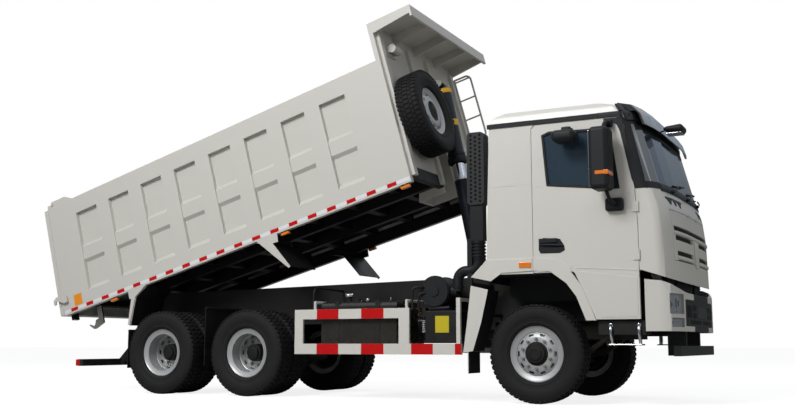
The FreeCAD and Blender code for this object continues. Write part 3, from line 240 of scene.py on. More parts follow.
finish = {
    "cream_paint": cream_paint, "black_paint": black_paint, "rim_paint": rim_paint, "tyre_rubber": tyre_black,
    "black_plastic": black_plastic, "dark_iron": iron, "hoist_chrome": chrome, "hoist_navy": navy_paint,
    "tinted_glass": tinted_glass, "lamp_glass": lamp_glass, "seat_cloth": seat_cloth,
    "tank_metal": glossy_tank_shade}
body_of = {n: b for b, ns in frame["record"]["behaviour"]["bodies"].items() for n in ns}
for sub in frame["record"]["subparts"]:
    node, slot = sub["node"], sub["material_slot"]
    if slot in ("tinted_glass", "lamp_glass", "tyre_rubber", "rim_paint"):
        frame["nodes"][node].data.materials.clear()
        frame["nodes"][node].data.materials.append(finish[slot])
    elif not node.startswith("mirrors_"):
        # cream pieces on the bed and tailgate take the darker copy of the cream, painted shade
        on_bed = slot == "cream_paint" and body_of[node] in ("bed", "tailgate")
        rolled_edges(node, body_of[node], bed_cream_shaded if on_bed else finish[slot])


def second_paint(node, material, wanted):
    # another paint on the faces of one finished piece that are wanted, by their place and the way they face
    piece = bpy.data.objects[node + ".finished"]
    piece.data.materials.append(material)
    for face in piece.data.polygons:
        if wanted(face.center, face.normal):
            face.material_index = len(piece.data.materials) - 1


bed_angle = math.radians(15.56)
bed_foot = Vector((-4.105, 0, 1.066))
bed_up = Vector((-math.sin(bed_angle), 0, math.cos(bed_angle)))
# the bed floor's top and its rear end take the darker copy of the cream, painted shade
second_paint("bed_floor", bed_cream_shaded,
             lambda spot, way: way.dot(bed_up) > 0.9 and (spot - bed_foot).dot(bed_up) > 0.2)
second_paint("bed_floor", bed_cream_shaded,
             lambda spot, way: (spot - bed_foot).dot(bed_up) < 0.01 and spot.x < -3.95)
second_paint("air_intake", intake_plastic, lambda spot, way: spot.z > 2.29)
second_paint("bed_mudguards", black_paint, lambda spot, way: way.y * spot.y < 0.7 * abs(spot.y))
second_paint("cab_shell", black_paint, lambda spot, way: way.z < -0.5 and spot.z < 1.6)
second_paint("front_mudguards", black_plastic,
             lambda spot, way: spot.z < 0.583 or way.x > 0.3 or way.z < -0.3 or abs(spot.y) < 0.9)
for side in ("left", "right"):
    second_paint("door_" + side, black_plastic,
                 lambda spot, way: abs(spot.y) > 1.2503 and 1.78 < spot.z < 1.84 and 3.09 < spot.x < 3.32)
second_paint("sun_visor", smoked_visor, lambda spot, way: spot.x > 4.19)

# Tyres
# Moulded rubber with a smooth sidewall, a raised rib that guards the rim and a tread of separate blocks. One
# tyre is spun up from its own section and every other tyre is a copy of it; the grooves are 12 mm deep.
def face_out():
    # all faces of the piece in hand turned to point outwards
    bpy.ops.object.mode_set(mode="EDIT")
    bpy.ops.mesh.select_all(action="SELECT")
    bpy.ops.mesh.normals_make_consistent(inside=False)
    bpy.ops.object.mode_set(mode="OBJECT")


def spun(name, section, steps):
    # a closed section of radius and Y turned once about the Y axis
    bpy.ops.object.select_all(action="DESELECT")
    bpy.ops.mesh.primitive_circle_add(vertices=len(section), radius=1)
    piece = bpy.context.object
    piece.name = name
    for corner, (radius, across) in zip(piece.data.vertices, section):
        corner.co = (radius, across, 0)
    bpy.ops.object.mode_set(mode="EDIT")
    bpy.ops.mesh.select_all(action="SELECT")
    bpy.ops.mesh.spin(steps=steps, angle=2 * math.pi, center=(0, 0, 0), axis=(0, 1, 0))
    bpy.ops.mesh.select_all(action="SELECT")
    bpy.ops.mesh.remove_doubles(threshold=0.00002)
    face_out()
    return piece


def choose_faces(piece, wanted):
    # edit mode with only the wanted faces selected
    bpy.ops.object.mode_set(mode="EDIT")
    bpy.ops.mesh.select_mode(type="FACE")
    bpy.ops.mesh.select_all(action="DESELECT")
    bpy.ops.object.mode_set(mode="OBJECT")
    for face in piece.data.polygons:
        face.select = wanted(face)
    bpy.ops.object.mode_set(mode="EDIT")


def on_a_block(face):
    # whether a face of the tyre's crown lies on one of the five bands' blocks, two steps long in every three
    middle = face.center
    if math.hypot(middle.x, middle.z) <= 0.532:
        return False
    step = math.floor((math.atan2(middle.z, middle.x) / (2 * math.pi) + 1) * pitches * 3)
    return any(low < middle.y < high and (step + shift) % 3 != 0 for low, high, shift in bands)


pitches = 56
bands = ((0.086, 0.140, 0), (0.040, 0.077, 1), (-0.032, 0.032, 0), (-0.077, -0.040, 1), (-0.140, -0.086, 0))
half = [(0.2630, 0.0804), (0.3000, 0.0920), (0.3142, 0.0966), (0.3155, 0.1215), (0.3260, 0.1330),
        (0.3420, 0.1382), (0.3455, 0.1418), (0.3560, 0.1425), (0.3600, 0.1400), (0.3850, 0.1465),
        (0.3880, 0.1452), (0.3915, 0.1478), (0.4300, 0.1540), (0.4550, 0.1555), (0.4800, 0.1535),
        (0.5020, 0.1490), (0.5060, 0.1462), (0.5100, 0.1472), (0.5270, 0.1400), (0.5420, 0.1270),
        (0.5440, 0.0860), (0.5440, 0.0770), (0.5440, 0.0400), (0.5440, 0.0320)]
one_tyre = spun("tyre_master", half + [(radius, -across) for radius, across in reversed(half)], pitches * 3)
choose_faces(one_tyre, on_a_block)
bpy.ops.mesh.extrude_region_shrink_fatten(TRANSFORM_OT_shrink_fatten={"value": 0.0118})
bpy.ops.mesh.select_all(action="DESELECT")
bpy.ops.object.mode_set(mode="OBJECT")
shade(one_tyre, 30)
one_tyre.data.materials.append(tyre_black)


def joined(name, pieces):
    # several pieces made one
    bpy.ops.object.select_all(action="DESELECT")
    for piece in pieces:
        piece.select_set(True)
    bpy.context.view_layer.objects.active = pieces[0]
    if len(pieces) > 1:
        bpy.ops.object.join()
    bpy.context.object.name = name
    return bpy.context.object


def gather(name, pieces, moved=Matrix.Identity(4)):
    # fresh copies of modelled pieces, each with its own mesh and its own place, joined and moved together
    made = []
    for master, place in pieces:
        copy = master.copy()
        copy.data = master.data.copy()
        bpy.context.collection.objects.link(copy)
        copy.data.transform(moved @ place)
        made.append(copy)
    return joined(name, made)


front_x, mid_x, rear_x, hub_z = 3.010, -0.890, -2.290, 0.556
front_y, rear_y, twin_apart = 1.048, 0.945, 0.175
for side, sign in (("left", 1), ("right", -1)):
    hub = Matrix.Translation((front_x, sign * front_y, hub_z))
    tyre = gather("front_tyre_%s.tread" % side, [(one_tyre, hub)])
    hand_over(tyre, "front_wheel_" + side, ["front_tyre_" + side])
    for tag, spot in (("mid", mid_x), ("rear", rear_x)):
        twins = [(one_tyre, Matrix.Translation((spot, sign * (rear_y + apart), hub_z)))
                 for apart in (twin_apart, -twin_apart)]
        tyres = gather("%s_tyres_%s.tread" % (tag, side), twins)
        hand_over(tyres, "%s_wheels_%s" % (tag, side), ["%s_tyres_%s" % (tag, side)])

# Steel wheels
# Rolled rim bands and pressed discs in silver paint, ten studs each, with slots round the disc that let the
# brakes breathe. The cast hubs, oil caps and brake drums behind them are black.
hub_black = dusty("black_hub_casting", (0.008, 0.008, 0.008), dust=0.02, low=0.4, high=0.65, bump=0.25)
worn_steel = dusty("worn_nut_steel", (0.33, 0.32, 0.31), dust=0.35, metal=0.8)


def turned(name, section, material, steps=48):
    # a turned or rolled piece of the wheel, its section's own curves shaded round
    piece = spun(name, section, steps)
    shade(piece, 28)
    piece.data.materials.append(material)
    return piece


def cut_slots(disc, radius, across, half_length, half_width):
    # slots punched through a disc, one between two nuts, lying along the disc's rim
    bpy.ops.object.select_all(action="DESELECT")
    cutters = []
    for k in range(nuts):
        bpy.ops.mesh.primitive_cylinder_add(vertices=16, radius=half_width, depth=0.09)
        punch = bpy.context.object
        for corner in punch.data.vertices:
            corner.co.x += math.copysign(half_length, corner.co.x)
        turn = Matrix.Rotation(2 * math.pi * (k + 0.5) / nuts, 4, "Y")
        lean = Matrix.Rotation(math.pi / 2 - 0.5, 4, "X")
        punch.data.transform(turn @ Matrix.Translation((0, across, radius)) @ lean)
        cutters.append(punch)
    punch = joined("punch", cutters)
    cut = disc.modifiers.new("slots", "BOOLEAN")
    cut.operation = "DIFFERENCE"
    cut.object = punch
    bpy.context.view_layer.objects.active = disc
    bpy.ops.object.modifier_apply(modifier="slots")
    bpy.data.objects.remove(punch)


nuts, nut_ring = 10, 0.1675
band = turned("rim_band", [
    (0.313, 0.108), (0.3145, 0.103), (0.312, 0.0975), (0.296, 0.0905), (0.262, 0.0805), (0.262, -0.0805),
    (0.296, -0.0905), (0.312, -0.0975), (0.3145, -0.103), (0.313, -0.108), (0.307, -0.1085),
    (0.300, -0.1035), (0.290, -0.0975), (0.246, -0.087), (0.243, 0.0), (0.246, 0.087), (0.290, 0.0975),
    (0.300, 0.1035), (0.307, 0.1085)], rim_paint, 72)
front_disc = turned("front_disc", [
    (0.2445, 0.060), (0.2445, 0.079), (0.238, 0.085), (0.200, 0.104), (0.188, 0.108), (0.136, 0.110),
    (0.133, 0.106), (0.133, 0.094), (0.186, 0.094), (0.196, 0.090), (0.234, 0.072)], rim_paint, 72)
cut_slots(front_disc, 0.216, 0.093, 0.022, 0.009)
front_hub = turned("front_hub", [
    (0.132, 0.040), (0.132, 0.104), (0.128, 0.108), (0.112, 0.110), (0.108, 0.118), (0.104, 0.142),
    (0.098, 0.148), (0.074, 0.150), (0.070, 0.160), (0.056, 0.163), (0.052, 0.158), (0.030, 0.157),
    (0.0005, 0.157), (0.0005, 0.140), (0.090, 0.120), (0.098, 0.040)], hub_black)
bpy.ops.object.select_all(action="DESELECT")
bpy.ops.mesh.primitive_cylinder_add(vertices=6, radius=0.0185, depth=0.026)
nut = bpy.context.object
nut.name = "wheel_nut"
choose_faces(nut, lambda face: face.normal.z > 0.9)
bpy.ops.mesh.inset(thickness=0.006)
bpy.ops.mesh.extrude_region_move(TRANSFORM_OT_translate={"value": (0, 0, 0.012)})
bpy.ops.mesh.inset(thickness=0.002)
bpy.ops.object.mode_set(mode="OBJECT")
roll_over(nut, 0.0015, segments=1)
nut.data.transform(Matrix.Rotation(-math.pi / 2, 4, "X"))
nut.data.materials.append(worn_steel)


def ring_of_nuts(name, across):
    # the wheel nuts round the Y axis
    return gather(name, [(nut, Matrix.Rotation(2 * math.pi * k / nuts, 4, "Y")
                          @ Matrix.Translation((0, across, nut_ring))) for k in range(nuts)])


front_nuts = ring_of_nuts("front_nuts", 0.119)
rear_disc = turned("rear_disc", [
    (0.2445, 0.082), (0.2445, 0.102), (0.236, 0.098), (0.196, 0.024), (0.186, 0.016), (0.112, 0.014),
    (0.112, 0.0), (0.190, 0.0), (0.200, 0.006), (0.238, 0.080)], rim_paint, 72)
cut_slots(rear_disc, 0.217, 0.055, 0.020, 0.010)
rear_hub = turned("rear_hub", [
    (0.111, -0.02), (0.111, 0.118), (0.106, 0.128), (0.088, 0.132), (0.084, 0.150), (0.078, 0.160),
    (0.060, 0.165), (0.0005, 0.165), (0.0005, 0.146), (0.070, 0.12), (0.100, -0.02)], hub_black)
rear_nuts = ring_of_nuts("rear_nuts", 0.027)
drum = turned("brake_drum", [
    (0.190, -0.225), (0.203, -0.225), (0.2035, -0.06), (0.196, -0.045), (0.110, -0.040), (0.110, -0.05),
    (0.188, -0.055)], iron)
shield = spun("dust_shield", [(0.196, -0.046), (0.2425, -0.046), (0.2425, -0.040), (0.196, -0.040)], 48)
shield.data.materials.append(hub_black)

here = Matrix.Identity(4)
for side, sign in (("left", 1), ("right", -1)):
    outwards = Matrix.Rotation(math.pi if sign < 0 else 0, 4, "Z")
    front_pieces = [(piece, here) for piece in (band, front_disc, front_hub, front_nuts)]
    front_pieces += [(drum, Matrix.Translation((0, 0.11, 0))), (shield, Matrix.Translation((0, 0.10, 0)))]
    wheel = gather("front_wheel_%s.steel" % side, front_pieces,
                   Matrix.Translation((front_x, sign * front_y, hub_z)) @ outwards)
    hand_over(wheel, "front_wheel_" + side, ["front_rim_" + side])
    rear_pieces = [(band, Matrix.Translation((0, apart, 0))) for apart in (twin_apart, -twin_apart)]
    rear_pieces += [(piece, here) for piece in (rear_disc, rear_hub, rear_nuts, drum, shield)]
    for tag, spot in (("mid", mid_x), ("rear", rear_x)):
        wheel = gather("%s_wheels_%s.steel" % (tag, side), rear_pieces,
                       Matrix.Translation((spot, sign * rear_y, hub_z)) @ outwards)
        hand_over(wheel, "%s_wheels_%s" % (tag, side), ["%s_rims_%s" % (tag, side)])

# Side guards
# White painted steel frames between the axles, marked with bands of red film. The film is thin and glossy,
# laid on the outer face of each bar.
red_film = dusty("red_reflective_film", (0.52, 0.006, 0.008), dust=0.02, shine=0.08)
white_film = dusty("white_reflective_film", (0.72, 0.72, 0.74), dust=0.15, low=0.25, high=0.4, coat=0.2)


def slab(name, corner, opposite, material, edge=0.003, segments=2, smooth=35):
    # a block between two opposite corners, its edges rolled over
    ends = [sorted(pair) for pair in zip(corner, opposite)]
    bpy.ops.object.select_all(action="DESELECT")
    bpy.ops.mesh.primitive_cube_add(size=1)
    piece = bpy.context.object
    piece.name = name
    for point in piece.data.vertices:
        point.co = [low if along < 0 else high for along, (low, high) in zip(point.co, ends)]
    if edge:
        roll_over(piece, edge, segments)
        shade(piece, smooth, even=True)
    piece.data.materials.append(material)
    return piece


def as_one(name, pieces, body, nodes=(), place=None):
    # several modelled pieces joined under one name and put in place, riding on one body
    piece = joined(name, pieces)
    if place:
        piece.data.transform(place)
    hand_over(piece, body, nodes)


films = []
upper_bar, lower_bar = (0.9745, 1.0935), (0.5435, 0.6705)
for side in (-1, 1):
    for low_x, high_x, (low_z, high_z) in (
            (0.167, 0.478, upper_bar), (0.799, 1.107, upper_bar), (0.167, 0.478, lower_bar),
            (0.799, 1.107, lower_bar), (1.478, 1.762, lower_bar), (2.045, 2.125, lower_bar)):
        films.append(slab("film", (low_x, side * 1.2305, low_z), (high_x, side * 1.2315, high_z), red_film,
                          edge=0))
as_one("guard_red_film", films, "chassis")

# Tank fittings
# A chromed filler cap with its neck, a silver breather and the sender's terminal stand on the tank's top.
bright = dusty("bright_cap_metal", (0.62, 0.63, 0.65), dust=0.08, low=0.12, high=0.3, metal=0.9)


def post(name, start, end, radius, material, sides=24, edge=0.002):
    # a round bar between two points with its end edges rolled over
    start, end = Vector(start), Vector(end)
    bpy.ops.object.select_all(action="DESELECT")
    bpy.ops.mesh.primitive_cylinder_add(vertices=sides, radius=radius, depth=(end - start).length)
    piece = bpy.context.object
    piece.name = name
    if edge:
        roll_over(piece, edge, limit=50)
        shade(piece, 40)
    lie = (end - start).to_track_quat("Z", "Y").to_matrix().to_4x4()
    piece.data.transform(Matrix.Translation((start + end) / 2) @ lie)
    piece.data.materials.append(material)
    return piece


as_one("tank_fittings", [
    post("neck", (0.445, -0.90, 1.20), (0.445, -0.90, 1.262), 0.030, iron),
    post("cap", (0.445, -0.90, 1.255), (0.445, -0.90, 1.290), 0.056, bright, edge=0.008),
    slab("grip", (0.39, -0.910, 1.287), (0.50, -0.890, 1.300), bright, edge=0.005),
    post("breather", (0.700, -0.88, 1.190), (0.700, -0.88, 1.235), 0.026, bright, edge=0.006),
    post("terminal", (0.985, -0.80, 1.190), (0.985, -0.80, 1.245), 0.008, bright),
    post("terminal", (0.60, -0.88, 1.190), (0.60, -0.88, 1.205), 0.012, bright)], "chassis")

# Gear between tank and front wheel
# A black box for the drier hangs from the rail and carries a plain yellow plate; beside it are the hoist's
# valve block with its hoses, and two bent tubes that guard the air cleaner.
yellow_plate = dusty("yellow_plate", (0.56, 0.46, 0.01), dust=0.12)
brass = dusty("brass_fittings", (0.42, 0.28, 0.10), low=0.25, high=0.45, metal=0.9)
hose_wrap = dusty("pale_hose_wrap", (0.50, 0.50, 0.50), low=0.4, high=0.6)


def bent(name, points, radius, material, sides=12):
    # a tube along a line of points, its corners drawn round
    bpy.ops.object.select_all(action="DESELECT")
    line = bpy.data.curves.new(name, "CURVE")
    line.dimensions = "3D"
    spline = line.splines.new("NURBS")
    spline.points.add(len(points) - 1)
    for point, spot in zip(spline.points, points):
        point.co = (*spot, 1)
    spline.use_endpoint_u = True
    spline.order_u = 3
    spline.resolution_u = 6
    line.bevel_depth = radius
    line.bevel_resolution = sides // 4
    line.use_fill_caps = True
    tube = bpy.data.objects.new(name, line)
    bpy.context.collection.objects.link(tube)
    tube.select_set(True)
    bpy.context.view_layer.objects.active = tube
    bpy.ops.object.convert(target="MESH")
    piece = bpy.context.object
    shade(piece, 50)
    piece.data.materials.append(material)
    return piece


gear = [slab("box", (1.590, -1.085, 0.700), (2.035, -0.640, 1.060), black_paint, edge=0.012),
        slab("box", (1.660, -0.650, 0.940), (1.960, -0.430, 1.040), black_paint, edge=0.004),
        slab("box", (1.575, -1.092, 0.690), (2.050, -0.630, 0.706), black_paint, edge=0.004),
        post("muffler", (1.640, -1.045, 1.085), (1.900, -1.045, 1.095), 0.022, black_plastic),
        slab("valve", (1.490, -1.060, 0.985), (1.585, -0.960, 1.100), iron, edge=0.006),
        slab("valve", (1.470, -1.040, 0.950), (1.530, -0.970, 1.060), iron, edge=0.005)]
for x, z in ((1.478, 1.085), (1.505, 1.068), (1.520, 1.040), (1.500, 1.012)):
    gear.append(post("plug", (x, -1.058, z), (x, -1.072, z), 0.009, brass, sides=8))
for x in (1.482, 1.504, 1.526):
    gear.append(post("plug", (x, -1.035, 0.935), (x, -1.035, 0.955), 0.008, bright, sides=8))
    gear.append(bent("hose", [(x, -1.035, 0.94), (x, -1.035, 0.86), (x + 0.03, -0.98, 0.78),
                              (x + 0.05, -0.85, 0.80)], 0.008, black_plastic, sides=8))
gear.append(bent("hose", [(1.565, -1.055, 0.99), (1.567, -1.055, 0.90), (1.565, -1.050, 0.80),
                          (1.555, -0.98, 0.74)], 0.017, black_plastic))
for k in range(7):
    z = 0.805 + 0.022 * k
    gear.append(post("wrap", (1.566, -1.054, z), (1.567, -1.055, z + 0.012), 0.0205, hose_wrap, sides=16))
for inset, top in ((0.0, 1.340), (0.055, 1.270)):
    x, y = 1.465 + inset, -1.165 + inset
    gear.append(bent("guard", [(x, y, 1.090), (x - 0.003, y, top - 0.09), (x + 0.005, y + 0.005, top),
                               (x + 0.095, y + 0.035, top), (1.640, -0.90, top), (1.650, -0.62, top - 0.02),
                               (1.650, -0.435, top - 0.08)], 0.015, black_paint))
    gear.append(slab("foot", (x - 0.025, y - 0.025, 1.075), (x + 0.025, y + 0.020, 1.094), black_paint,
                     edge=0.002))
gear.append(bent("rail", [(0.066, -1.150, 1.090), (0.066, -1.150, 1.300), (0.072, -1.125, 1.362),
                          (0.080, -1.000, 1.378), (0.080, -0.440, 1.360)], 0.015, black_paint))
gear.append(slab("rail", (0.036, -1.180, 1.076), (0.096, -1.120, 1.095), black_paint))
as_one("valve_gear", gear, "chassis")
plate = slab("plate", (1.728, -1.0885, 0.800), (1.906, -1.0855, 0.997), yellow_plate, edge=0.001)
as_one("blank_yellow_plate", [plate], "chassis")

# Perforated air intake
# The tall black box breathes through staggered rows of round holes in its face and its back. Each hole is a
# thin disc of near-black painted shade laid on the surface, not an opening.
holes = []
for k in range(17):
    for column, shift in ((-1, 0.0), (0, 0.025), (1, 0.0)):
        x, y, z = 2.239 + 0.058 * column, -0.95 + 0.045 * column, 2.352 + 0.050 * k + shift
        if z < 3.16:
            for start, end in (((x, -1.0285, z), (x, -1.0312, z)), ((2.1315, y, z), (2.1288, y, z))):
                holes.append(post("hole", start, end, 0.0165, painted_hole_shade, sides=14, edge=0))
as_one("intake_hole_shades", holes, "chassis")

# Cab trim
# Black moulded panels wrap the windscreen pillars and header, and a black strip hides the joint between the
# roof and the side panels. They are clipped on the painted shell, so each follows its shape.
def thicken(piece, thick, offset=0):
    # a bare skin made a wall, laid outside it (1), inside it (-1) or half on each side (0)
    wall = piece.modifiers.new("wall", "SOLIDIFY")
    wall.thickness = thick
    wall.offset = offset
    bpy.ops.object.modifier_apply(modifier="wall")


def within(**ranges):
    # planes that keep what lies between a low and a high x, y or z, either of which may be None
    planes = []
    for axis, ends in ranges.items():
        along = Vector([float(name == axis) for name in "xyz"])
        planes += [(end * along, way * along) for end, way in zip(ends, (-1, 1)) if end is not None]
    return planes


def patch(name, node, planes, material, thick, heart):
    # the outer skin of a piece, away from its heart and between some planes, lifted off by its own thickness
    piece = own_copy(frame["nodes"][node], name)
    bpy.ops.object.mode_set(mode="EDIT")
    bpy.ops.mesh.select_mode(type="FACE")
    bpy.ops.mesh.select_all(action="SELECT")
    bpy.ops.mesh.remove_doubles(threshold=merge_gap)
    for point, away in planes:
        bpy.ops.mesh.select_all(action="SELECT")
        bpy.ops.mesh.bisect(plane_co=point, plane_no=away, clear_outer=True)
    bpy.ops.object.mode_set(mode="OBJECT")
    choose_faces(piece, lambda face: face.normal.dot(face.center - heart) < 0.12)
    bpy.ops.mesh.delete(type="FACE")
    bpy.ops.mesh.select_all(action="SELECT")
    bpy.ops.mesh.dissolve_limited(angle_limit=level_angle)
    bpy.ops.object.mode_set(mode="OBJECT")
    thicken(piece, thick, offset=1)
    shade(piece, 35)
    piece.data.materials.clear()
    piece.data.materials.append(material)
    return piece


cab_x = front_x
cab_place = Matrix.Translation((cab_x, 0, 0))
cab_heart = Vector((cab_x + 0.3, 0, 2.6))
screen_border = dusty("screen_border_glass", (0.030, 0.036, 0.042), dust=0.05, low=0.03, high=0.08, coat=1.0,
                      shine=0.8)


def cab_patch(name, planes, material, thick):
    # a patch of the cab's own shell
    return patch(name, "cab_shell", planes, material, thick, cab_heart)


pillars = [((cab_x + 1.184, 0, 2.33), (-0.985, 0, -0.16))] + within(z=(2.335, 3.13))
as_one("pillar_trim", [cab_patch("pillar_trim", pillars, black_plastic, 0.004)], "cab")
upper_end = [((cab_x + 0.935, 0, 3.36), (-0.85, 0, -0.53))] + within(z=(3.212, None))
lower_end = [((cab_x + 1.060, 0, 3.21), (-0.93, 0, -0.36))] + within(z=(3.100, 3.206))
as_one("visor_ends", [cab_patch("visor_end", upper_end, navy_paint, 0.016),
                      cab_patch("visor_end", lower_end, navy_paint, 0.020)], "cab")
borders = []
for side in (-1, 1):
    planes = [((0, side * 1.048, 0), (0, -side, 0)), ((0, side * 1.226, 2.73), (0, side, 0.03))]
    planes += within(z=(2.408, 3.055), x=(cab_x + 1.0, None))
    borders.append(cab_patch("border", planes, screen_border, 0.007))
as_one("screen_borders", borders, "cab")
roof_front = [((cab_x + 1.06, 0, 3.2), (0.95, 0, 0.3))] + within(x=(cab_x + 0.78, None), z=(3.128, 3.207))
strips = [cab_patch("strip_front", roof_front, black_plastic, 0.010)]
for side in (-1, 1):
    strips.append(slab("strip", (cab_x - 0.525, side * 1.2495, 3.152), (cab_x + 0.80, side * 1.262, 3.207),
                       black_plastic, edge=0.004))
as_one("roof_strips", strips, "cab")

# Wheel arch liners
# Black moulded liners close the arches against the engine: a sheet cut to the arch's outline, with a top over
# the wheel and a back behind it.
def cut_sheet(name, points, across, thick, material, inset=0.0, edge=0.002):
    # a sheet cut to an outline in X and Z, or only a frame along the outline's inside
    bpy.ops.object.select_all(action="DESELECT")
    bpy.ops.mesh.primitive_circle_add(vertices=len(points), radius=1, fill_type="NGON")
    piece = bpy.context.object
    piece.name = name
    for corner, (x, z) in zip(piece.data.vertices, points):
        corner.co = (x, across, z)
    face_out()
    if inset:
        bpy.ops.object.mode_set(mode="EDIT")
        bpy.ops.mesh.inset(thickness=inset)
        bpy.ops.mesh.delete(type="FACE")
        bpy.ops.object.mode_set(mode="OBJECT")
    thicken(piece, thick)
    if edge:
        roll_over(piece, edge)
    face_out()
    shade(piece, 35, even=True)
    piece.data.materials.append(material)
    return piece


arch = ((-0.50, 1.452), (-0.50, 1.22), (-0.20, 1.16), (0.40, 1.16), (0.62, 1.25), (0.80, 1.12), (0.80, 1.452))
liners = []
for side in (-1, 1):
    liners += [
        cut_sheet("liner", arch, side * 0.640, 0.006, black_plastic, edge=0),
        slab("top", (-0.50, side * 0.640, 1.440), (0.55, side * 1.200, 1.448), black_plastic, edge=0.002),
        slab("back", (-0.557, side * 0.460, 1.365), (-0.549, side * 1.190, 1.470), black_plastic, edge=0.002)]
as_one("arch_liners", liners, "cab", place=cab_place)

# Pressed panels on the cab's sides
# The side behind the door has an embossed panel and a raised band over the wheel; the door carries on the
# band, with a crease and a raised panel low down, and a black moulding along its front edge.
cab_side, sunk = 1.250, 0.001


def on_side(side, shapes):
    # flat pressings laid on the cab's side, each given by its outline from the front axle's line
    return [cut_sheet(name, points, side * (cab_side + proud / 2 - sunk), proud + 2 * sunk, material,
                      edge=edge) for name, proud, edge, material, points in shapes]


behind_door = (
    ("band", 0.006, 0.003, cream_paint,
     ((-0.552, 1.628), (0.012, 1.622), (0.012, 1.482), (-0.335, 1.482), (-0.475, 1.394), (-0.712, 1.440),
      (-0.575, 1.600))),
    ("emboss", 0.002, 0.0012, cream_paint,
     ((-0.004, 3.056), (-0.140, 3.063), (-0.281, 2.883), (-0.275, 2.847), (-0.161, 2.487), (-0.004, 2.451))),
    ("crease", 0.003, 0.0012, cream_paint,
     ((-0.520, 2.478), (-0.175, 2.466), (-0.175, 2.460), (-0.520, 2.470))))
on_door = (
    ("band", 0.006, 0.003, cream_paint,
     ((0.058, 1.622), (0.224, 1.611), (0.350, 1.570), (0.440, 1.518), (0.466, 1.464), (0.058, 1.464))),
    ("crease", 0.004, 0.0015, cream_paint, ((0.475, 1.508), (1.190, 1.458), (1.190, 1.446), (0.482, 1.494))),
    ("panel", 0.005, 0.0022, cream_paint,
     ((0.548, 1.458), (1.180, 1.372), (1.180, 0.955), (0.775, 0.950), (0.640, 1.260))),
    ("crease", 0.003, 0.0012, cream_paint, ((0.050, 2.450), (0.150, 2.430), (0.150, 2.424), (0.050, 2.442))),
    ("crease", 0.003, 0.0012, cream_paint, ((1.060, 2.304), (1.180, 2.288), (1.180, 2.280), (1.060, 2.296))),
    ("moulding", 0.004, 0.0012, black_plastic,
     ((1.188, 2.338), (1.150, 2.450), (1.088, 2.750), (1.040, 2.980), (1.008, 3.055), (0.950, 3.098),
      (0.860, 3.112), (0.860, 3.140), (1.062, 3.140), (1.079, 3.050), (1.129, 2.750), (1.185, 2.400),
      (1.197, 2.338))))
pressings = on_side(-1, behind_door) + on_side(1, behind_door)
as_one("side_pressings", pressings, "cab", place=cab_place)
for side, sign in (("left", 1), ("right", -1)):
    as_one("door_%s.pressings" % side, on_side(sign, on_door), "door_" + side, place=cab_place)

# Cooler
# The cooler's dark face fills the gap between the front panel and the bumper. It is in three parts, each a
# core with nine thin fins across it.
cooler = []
for low_y, high_y in ((-0.96, -0.56), (-0.45, 0.45), (0.56, 0.96)):
    cooler.append(slab("core", (1.405, low_y, 1.150), (1.430, high_y, 1.425), black_paint, edge=0.004))
    for k in range(9):
        z = 1.165 + 0.029 * k
        cooler.append(slab("fin", (1.428, low_y + 0.01, z), (1.436, high_y - 0.01, z + 0.012), black_plastic,
                           edge=0.002))
as_one("cooler_face", cooler, "chassis", place=cab_place)

# Door windows
# Each pane sits in a black rubber channel that stands a little proud of the painted door. Below it a cup is
# let into the door, with a moulded pull across it.
window_line = [(0.187, 2.430), (0.911, 2.346), (1.019, 2.346), (0.931, 3.020), (0.880, 3.036), (0.223, 3.056),
               (0.135, 3.020)]
cup_line = [(0.100, 1.672), (0.330, 1.668), (0.385, 1.700), (0.378, 1.752), (0.330, 1.828), (0.135, 1.846),
            (0.085, 1.800), (0.080, 1.715)]
for side, sign in (("left", 1), ("right", -1)):
    channel = cut_sheet("channel", window_line, sign * 1.246, 0.022, black_plastic, inset=0.026)
    cup = cut_sheet("cup", cup_line, sign * 1.2495, 0.014, black_plastic, edge=0.004)
    pull = bent("pull", [(0.10, sign * 1.255, 1.768), (0.13, sign * 1.272, 1.768),
                         (0.32, sign * 1.272, 1.756), (0.365, sign * 1.255, 1.752)], 0.013, black_plastic)
    as_one("door_%s_trim" % side, [channel, cup, pull], "door_" + side, place=cab_place)

# Marker lamps
# Small amber lamps sit above the front wheels, one each side, in clear moulded lenses.
amber = started("amber_lens", {"Base Color": (0.80, 0.20, 0.01, 1), "Roughness": 0.18, "Coat Weight": 0.6})
markers = [slab("marker", (-0.152, side * 1.262, 1.518), (-0.010, side * 1.274, 1.581), amber, edge=0.006)
           for side in (-1, 1)]
as_one("side_markers", markers, "cab", place=cab_place)

# Chromed entry steps
# Two bent legs of chromed tube hang under each black step box and carry a pressed bright tread.
mirror_chrome = dusty("step_chrome", (0.70, 0.71, 0.73), dust=0.05, low=0.08, high=0.2, metal=1.0)
steps = []
for side in (-1, 1):
    for x in (0.865, 1.170):
        line = [(x, side * 1.204, 0.86), (x, side * 1.232, 0.845), (x + 0.005, side * 1.236, 0.76),
                (x + 0.012, side * 1.222, 0.69), (x + 0.012, side * 1.200, 0.662)]
        steps.append(bent("leg", line, 0.016, mirror_chrome))
        steps.append(post("collar", (x, side * 1.196, 0.862), (x, side * 1.212, 0.862), 0.023, mirror_chrome))
    steps.append(slab("tread", (0.844, side * 1.075, 0.650), (1.199, side * 1.235, 0.664), mirror_chrome,
                      edge=0.004))
as_one("step_treads", steps, "chassis", place=cab_place)

